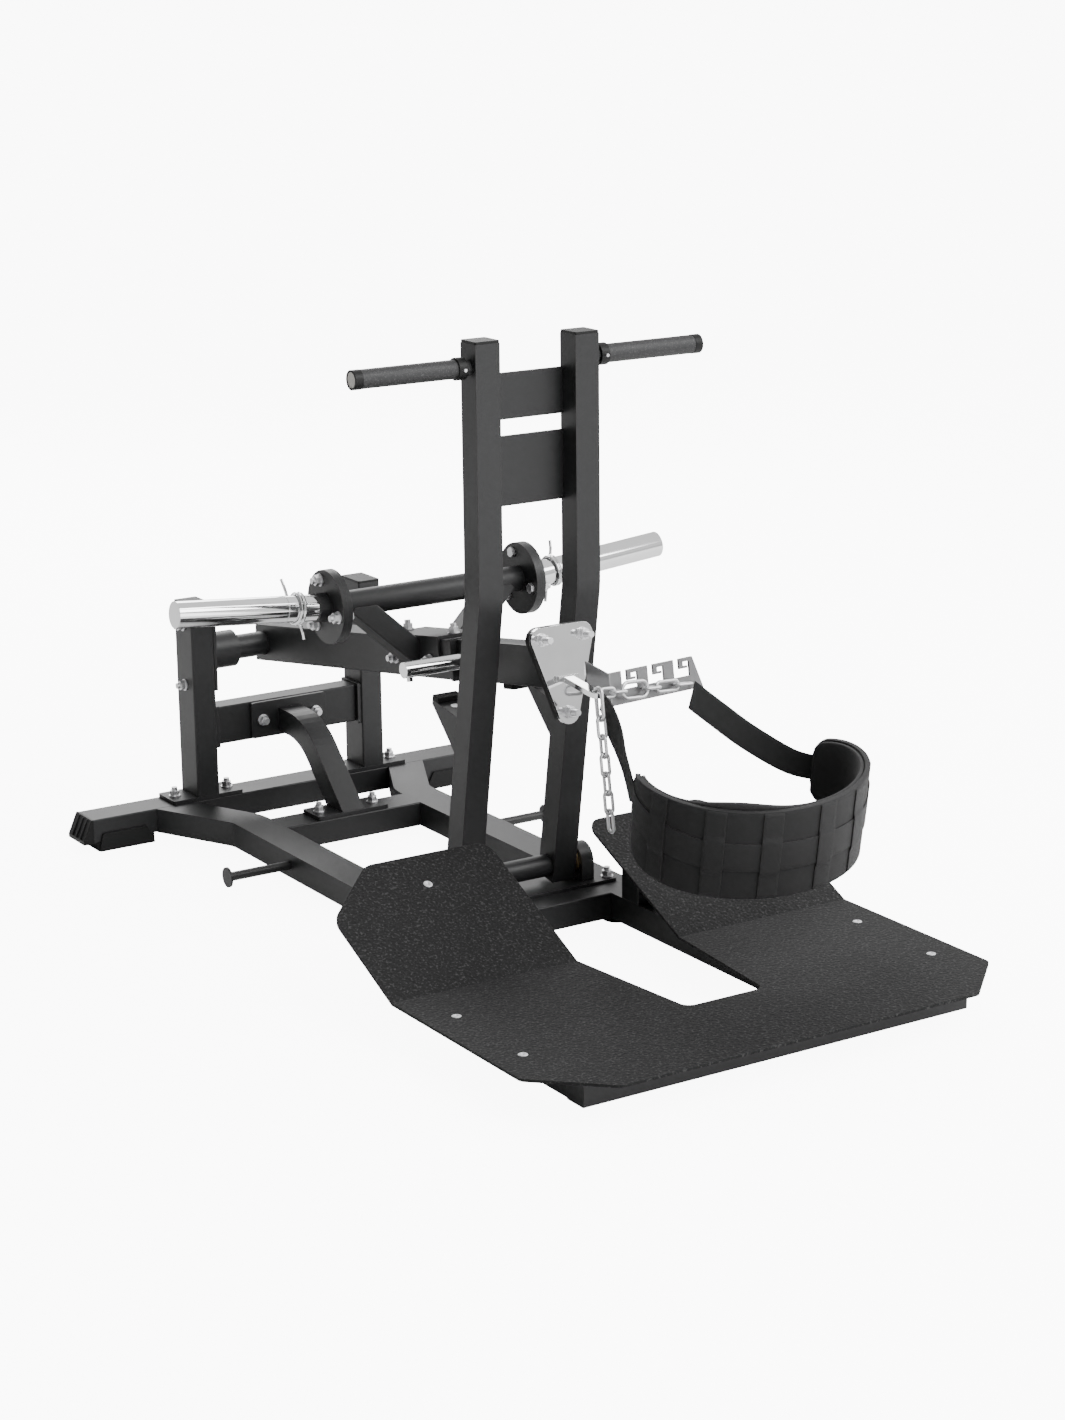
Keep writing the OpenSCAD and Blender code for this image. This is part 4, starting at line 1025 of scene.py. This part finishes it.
@dataclass(frozen=True)
class ScrewHeads:
    """Low heads of the countersunk screws in the foot plate, each with a hexagon socket.

    reach is the distance within which two flat faces belong to one screw, and facing_up the
    least upward part of their direction.
    """

    radius: float = 0.0083
    chamfer: float = 0.0012
    socket: float = 0.0032
    sunk: float = 0.0003
    proud: float = 0.0009
    floor: float = 0.0001
    sides: int = 36
    reach: float = 0.03
    facing_up: float = 0.85

    def spots(self, node: bpy.types.Object) -> list[tuple[Vector, Vector]]:
        """Find the middle and the direction of each screw's flat top.

        Args:
            node: The CAD node with the screws.

        Returns:
            A point and a normal for each screw.
        """
        found: list[list] = []
        for face in node.data.polygons:
            if face.normal.z < self.facing_up:
                continue
            near = next((f for f in found if (f[0] / f[2] - face.center).length < self.reach), None)
            if near is None:
                near = [Vector((0, 0, 0)), face.normal.copy(), 0.0]
                found.append(near)
            near[0] += face.center * face.area
            near[2] += face.area
        return [(total / area, normal) for total, normal, area in found]

    def ring(self, mesh: bmesh.types.BMesh, spot: tuple[Vector, Vector], radius: float,
             height: float, corners: int) -> list[bmesh.types.BMVert]:
        """Add one ring of points round a screw's axis.

        Args:
            mesh: The mesh it is added to.
            spot: The middle and the direction of the screw's top.
            radius: Its radius, out to its corners.
            height: Its height above the plate.
            corners: Number of its corners, or 0 for a round ring.

        Returns:
            The points.
        """
        turn = spot[1].to_track_quat("Z", "Y")
        points = []
        for i in range(self.sides):
            a = math.tau * i / self.sides
            r = radius
            if corners:
                half = math.pi / corners
                r *= math.cos(half) / math.cos(a % (2 * half) - half)
            point = spot[0] + turn @ Vector((r * math.cos(a), r * math.sin(a), height))
            points.append(mesh.verts.new(point))
        return points

    def build(self, node: bpy.types.Object) -> bpy.types.Object:
        """Build all heads as one piece.

        Args:
            node: The CAD node with the screws.

        Returns:
            The heads.
        """
        mesh = bmesh.new()
        rows = ((self.radius, -self.sunk, 0), (self.radius, self.sunk, 0),
                (self.radius - self.chamfer, self.proud, 0), (self.socket, self.proud, 6),
                (self.socket, self.floor, 6))
        for spot in self.spots(node):
            rings = [self.ring(mesh, spot, *row) for row in rows]
            for low, high in zip(rings, rings[1:]):
                for i in range(self.sides):
                    j = (i + 1) % self.sides
                    mesh.faces.new((low[i], low[j], high[j], high[i]))
            mesh.faces.new(rings[-1])
            mesh.faces.new(rings[0][::-1])
        return finish_mesh("screw_heads", mesh)


@dataclass
class Machine:
    """The whole machine: CAD nodes with their finishes, and the belt."""

    effects: Effects = field(default_factory=Effects)
    belt_nodes: tuple[str, ...] = ("hip_belt", "belt_straps")

    def finish_frame(self) -> None:
        """Give every CAD node the finish of its record slot."""
        materials = {slot.value: finish.build(self.effects) for slot, finish in FINISHES.items()}
        own = {"handles": HANDLE_GRIP.build(self.effects),
               "hook_rack": RACK_STEEL.build(self.effects),
               "plate_screws": SCREW_STEEL.build(self.effects)}
        slots = {entry["node"]: entry["material_slot"] for entry in frame["record"]["subparts"]}
        for name, node in frame["nodes"].items():
            if name in self.belt_nodes:
                continue
            node.data.materials.clear()
            node.data.materials.append(own.get(name, materials[slots[name]]))
            LOG.info("%s: %s", name, slots[name])
        heads = ScrewHeads().build(frame["nodes"]["plate_screws"])
        dress(heads, own["plate_screws"], Slot(slots["plate_screws"]), "base")

    def finish_belt(self) -> None:
        """Build the belt and both straps, and dress them."""
        shell_look = BELT_SHELL.build(self.effects)
        webbing = BELT_WEBBING.build(self.effects)
        cloth = BELT_PAD.build(self.effects)
        for piece in HipBelt().build():
            look = {"belt_shell": shell_look, "belt_pad": cloth}.get(piece.name, webbing)
            dress(piece, look, Slot.BELT, "belt")
        for strap in STRAPS:
            piece = strap.build()
            dress(piece, webbing, Slot.BELT, "belt")
            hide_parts("belt_straps")


# ---- Studio


@dataclass(frozen=True)
class Lamp:
    """A soft square light that faces the machine, in metres and watts."""

    name: str
    place: tuple[float, float, float]
    size: float
    power: float

    def build(self, aim: Vector) -> None:
        """Add the light to the scene.

        Args:
            aim: The point that it faces.
        """
        data = bpy.data.lights.new(self.name, "AREA")
        data.size = self.size
        data.energy = self.power
        lamp = bpy.data.objects.new(self.name, data)
        place = Vector(self.place)
        turn = (aim - place).to_track_quat("-Z", "Y").to_matrix().to_4x4()
        lamp.matrix_world = Matrix.Translation(place) @ turn
        bpy.context.scene.collection.objects.link(lamp)


@dataclass(frozen=True)
class Studio:
    """Pale floor, soft light and the camera of the photograph.

    The camera's frame is given by its place and its right, up and back directions. floor_glow
    and backdrop are what the camera alone sees. dim_side is the share of the sky's light that
    comes from the machine's left, where it fades between dim_from and dim_to.
    """

    eye: tuple[float, float, float] = (-2.8237, -4.5678, 1.8757)
    right: tuple[float, float, float] = (0.84363, -0.53681, -0.01126)
    up: tuple[float, float, float] = (0.14984, 0.21524, 0.96500)
    back: tuple[float, float, float] = (-0.51560, -0.81579, 0.26202)
    lens: float = 76.40
    sensor: float = 36.0
    far: float = 200.0
    floor_radius: float = 40.0
    floor_sides: int = 96
    floor_grey: float = 0.9
    floor_roughness: float = 0.8
    floor_specular: float = 0.1
    floor_glow: float = 9.0
    dim_side: float = 0.05
    dim_from: float = -0.9
    dim_to: float = 0.1
    backdrop: float = 12.0
    sky: tuple[tuple[float, float], ...] = ((0.0, 0.8), (0.25, 0.95), (1.0, 1.0))
    aim: tuple[float, float, float] = (0.0, 0.0, 0.45)
    lamps: tuple[Lamp, ...] = (Lamp("key_light", (1.6, -3.6, 4.2), 3.0, 190.0),
                               Lamp("side_light", (4.0, -1.0, 2.6), 2.5, 90.0),
                               Lamp("low_fill", (0.8, -5.0, 0.9), 2.5, 60.0),
                               Lamp("back_light", (1.0, 4.5, 3.2), 3.0, 160.0))

    def build_camera(self) -> None:
        """Create the camera and make it the scene's."""
        data = bpy.data.cameras.new("camera")
        data.sensor_fit = "VERTICAL"
        data.sensor_height = self.sensor
        data.lens = self.lens
        data.clip_end = self.far
        camera = bpy.data.objects.new("camera", data)
        axes = Matrix((self.right, self.up, self.back)).transposed().to_4x4()
        camera.matrix_world = Matrix.Translation(self.eye) @ axes
        bpy.context.scene.collection.objects.link(camera)
        bpy.context.scene.camera = camera

    def build_floor(self) -> None:
        """Create the floor as a wide disc, marked as stage."""
        mesh = bmesh.new()
        bmesh.ops.create_circle(mesh, cap_ends=True, segments=self.floor_sides,
                                radius=self.floor_radius)
        floor = finish_mesh("floor", mesh)
        look = Shading("pale_floor")
        look.set("Base Color", (self.floor_grey, self.floor_grey, self.floor_grey, 1))
        look.set("Roughness", self.floor_roughness)
        look.set("Specular IOR Level", self.floor_specular)
        seen = look.graph.add("ShaderNodeLightPath").outputs["Is Camera Ray"]
        look.feed("Emission Color", look.graph.blend(seen, (0, 0, 0), (1, 1, 1)))
        look.set("Emission Strength", self.floor_glow)
        floor.data.materials.append(look.material)

    def build_world(self) -> None:
        """Create the studio's surroundings, bright above, and dim on the machine's left."""
        world = bpy.data.worlds.new("studio")
        world.use_nodes = True
        bpy.context.scene.world = world
        graph = Graph(world.node_tree)
        where = graph.add("ShaderNodeTexCoord").outputs["Generated"]
        parts = graph.add("ShaderNodeSeparateXYZ")
        graph.link(where, parts.inputs[0])
        ramp = graph.add("ShaderNodeValToRGB")
        graph.link(parts.outputs["Z"], ramp.inputs["Fac"])
        stops = ramp.color_ramp.elements
        stops.new(self.sky[1][0])
        for stop, (place, grey) in zip(stops, self.sky):
            stop.position = place
            stop.color = (grey, grey, grey, 1)
        background = world.node_tree.nodes["Background"]
        graph.link(ramp.outputs["Color"], background.inputs["Color"])
        side = graph.add("ShaderNodeMapRange", clamp=True)
        graph.link(parts.outputs["X"], side.inputs["Value"])
        limits = {"From Min": self.dim_from, "From Max": self.dim_to,
                  "To Min": self.dim_side, "To Max": 1.0}
        for title, value in limits.items():
            side.inputs[title].default_value = value
        seen = graph.add("ShaderNodeLightPath").outputs["Is Camera Ray"]
        mixed = graph.add("ShaderNodeMix", data_type="FLOAT")
        graph.link(seen, mixed.inputs["Factor"])
        graph.link(side.outputs["Result"], mixed.inputs["A"])
        mixed.inputs["B"].default_value = self.backdrop
        graph.link(mixed.outputs["Result"], background.inputs["Strength"])

    def build(self) -> None:
        """Build the camera, the floor and the lights."""
        self.build_camera()
        self.build_floor()
        self.build_world()
        for lamp in self.lamps:
            lamp.build(Vector(self.aim))


def main() -> None:
    """Build the studio and the machine."""
    Studio().build()
    machine = Machine()
    machine.finish_frame()
    machine.finish_belt()


if __name__ == "__main__":
    main()
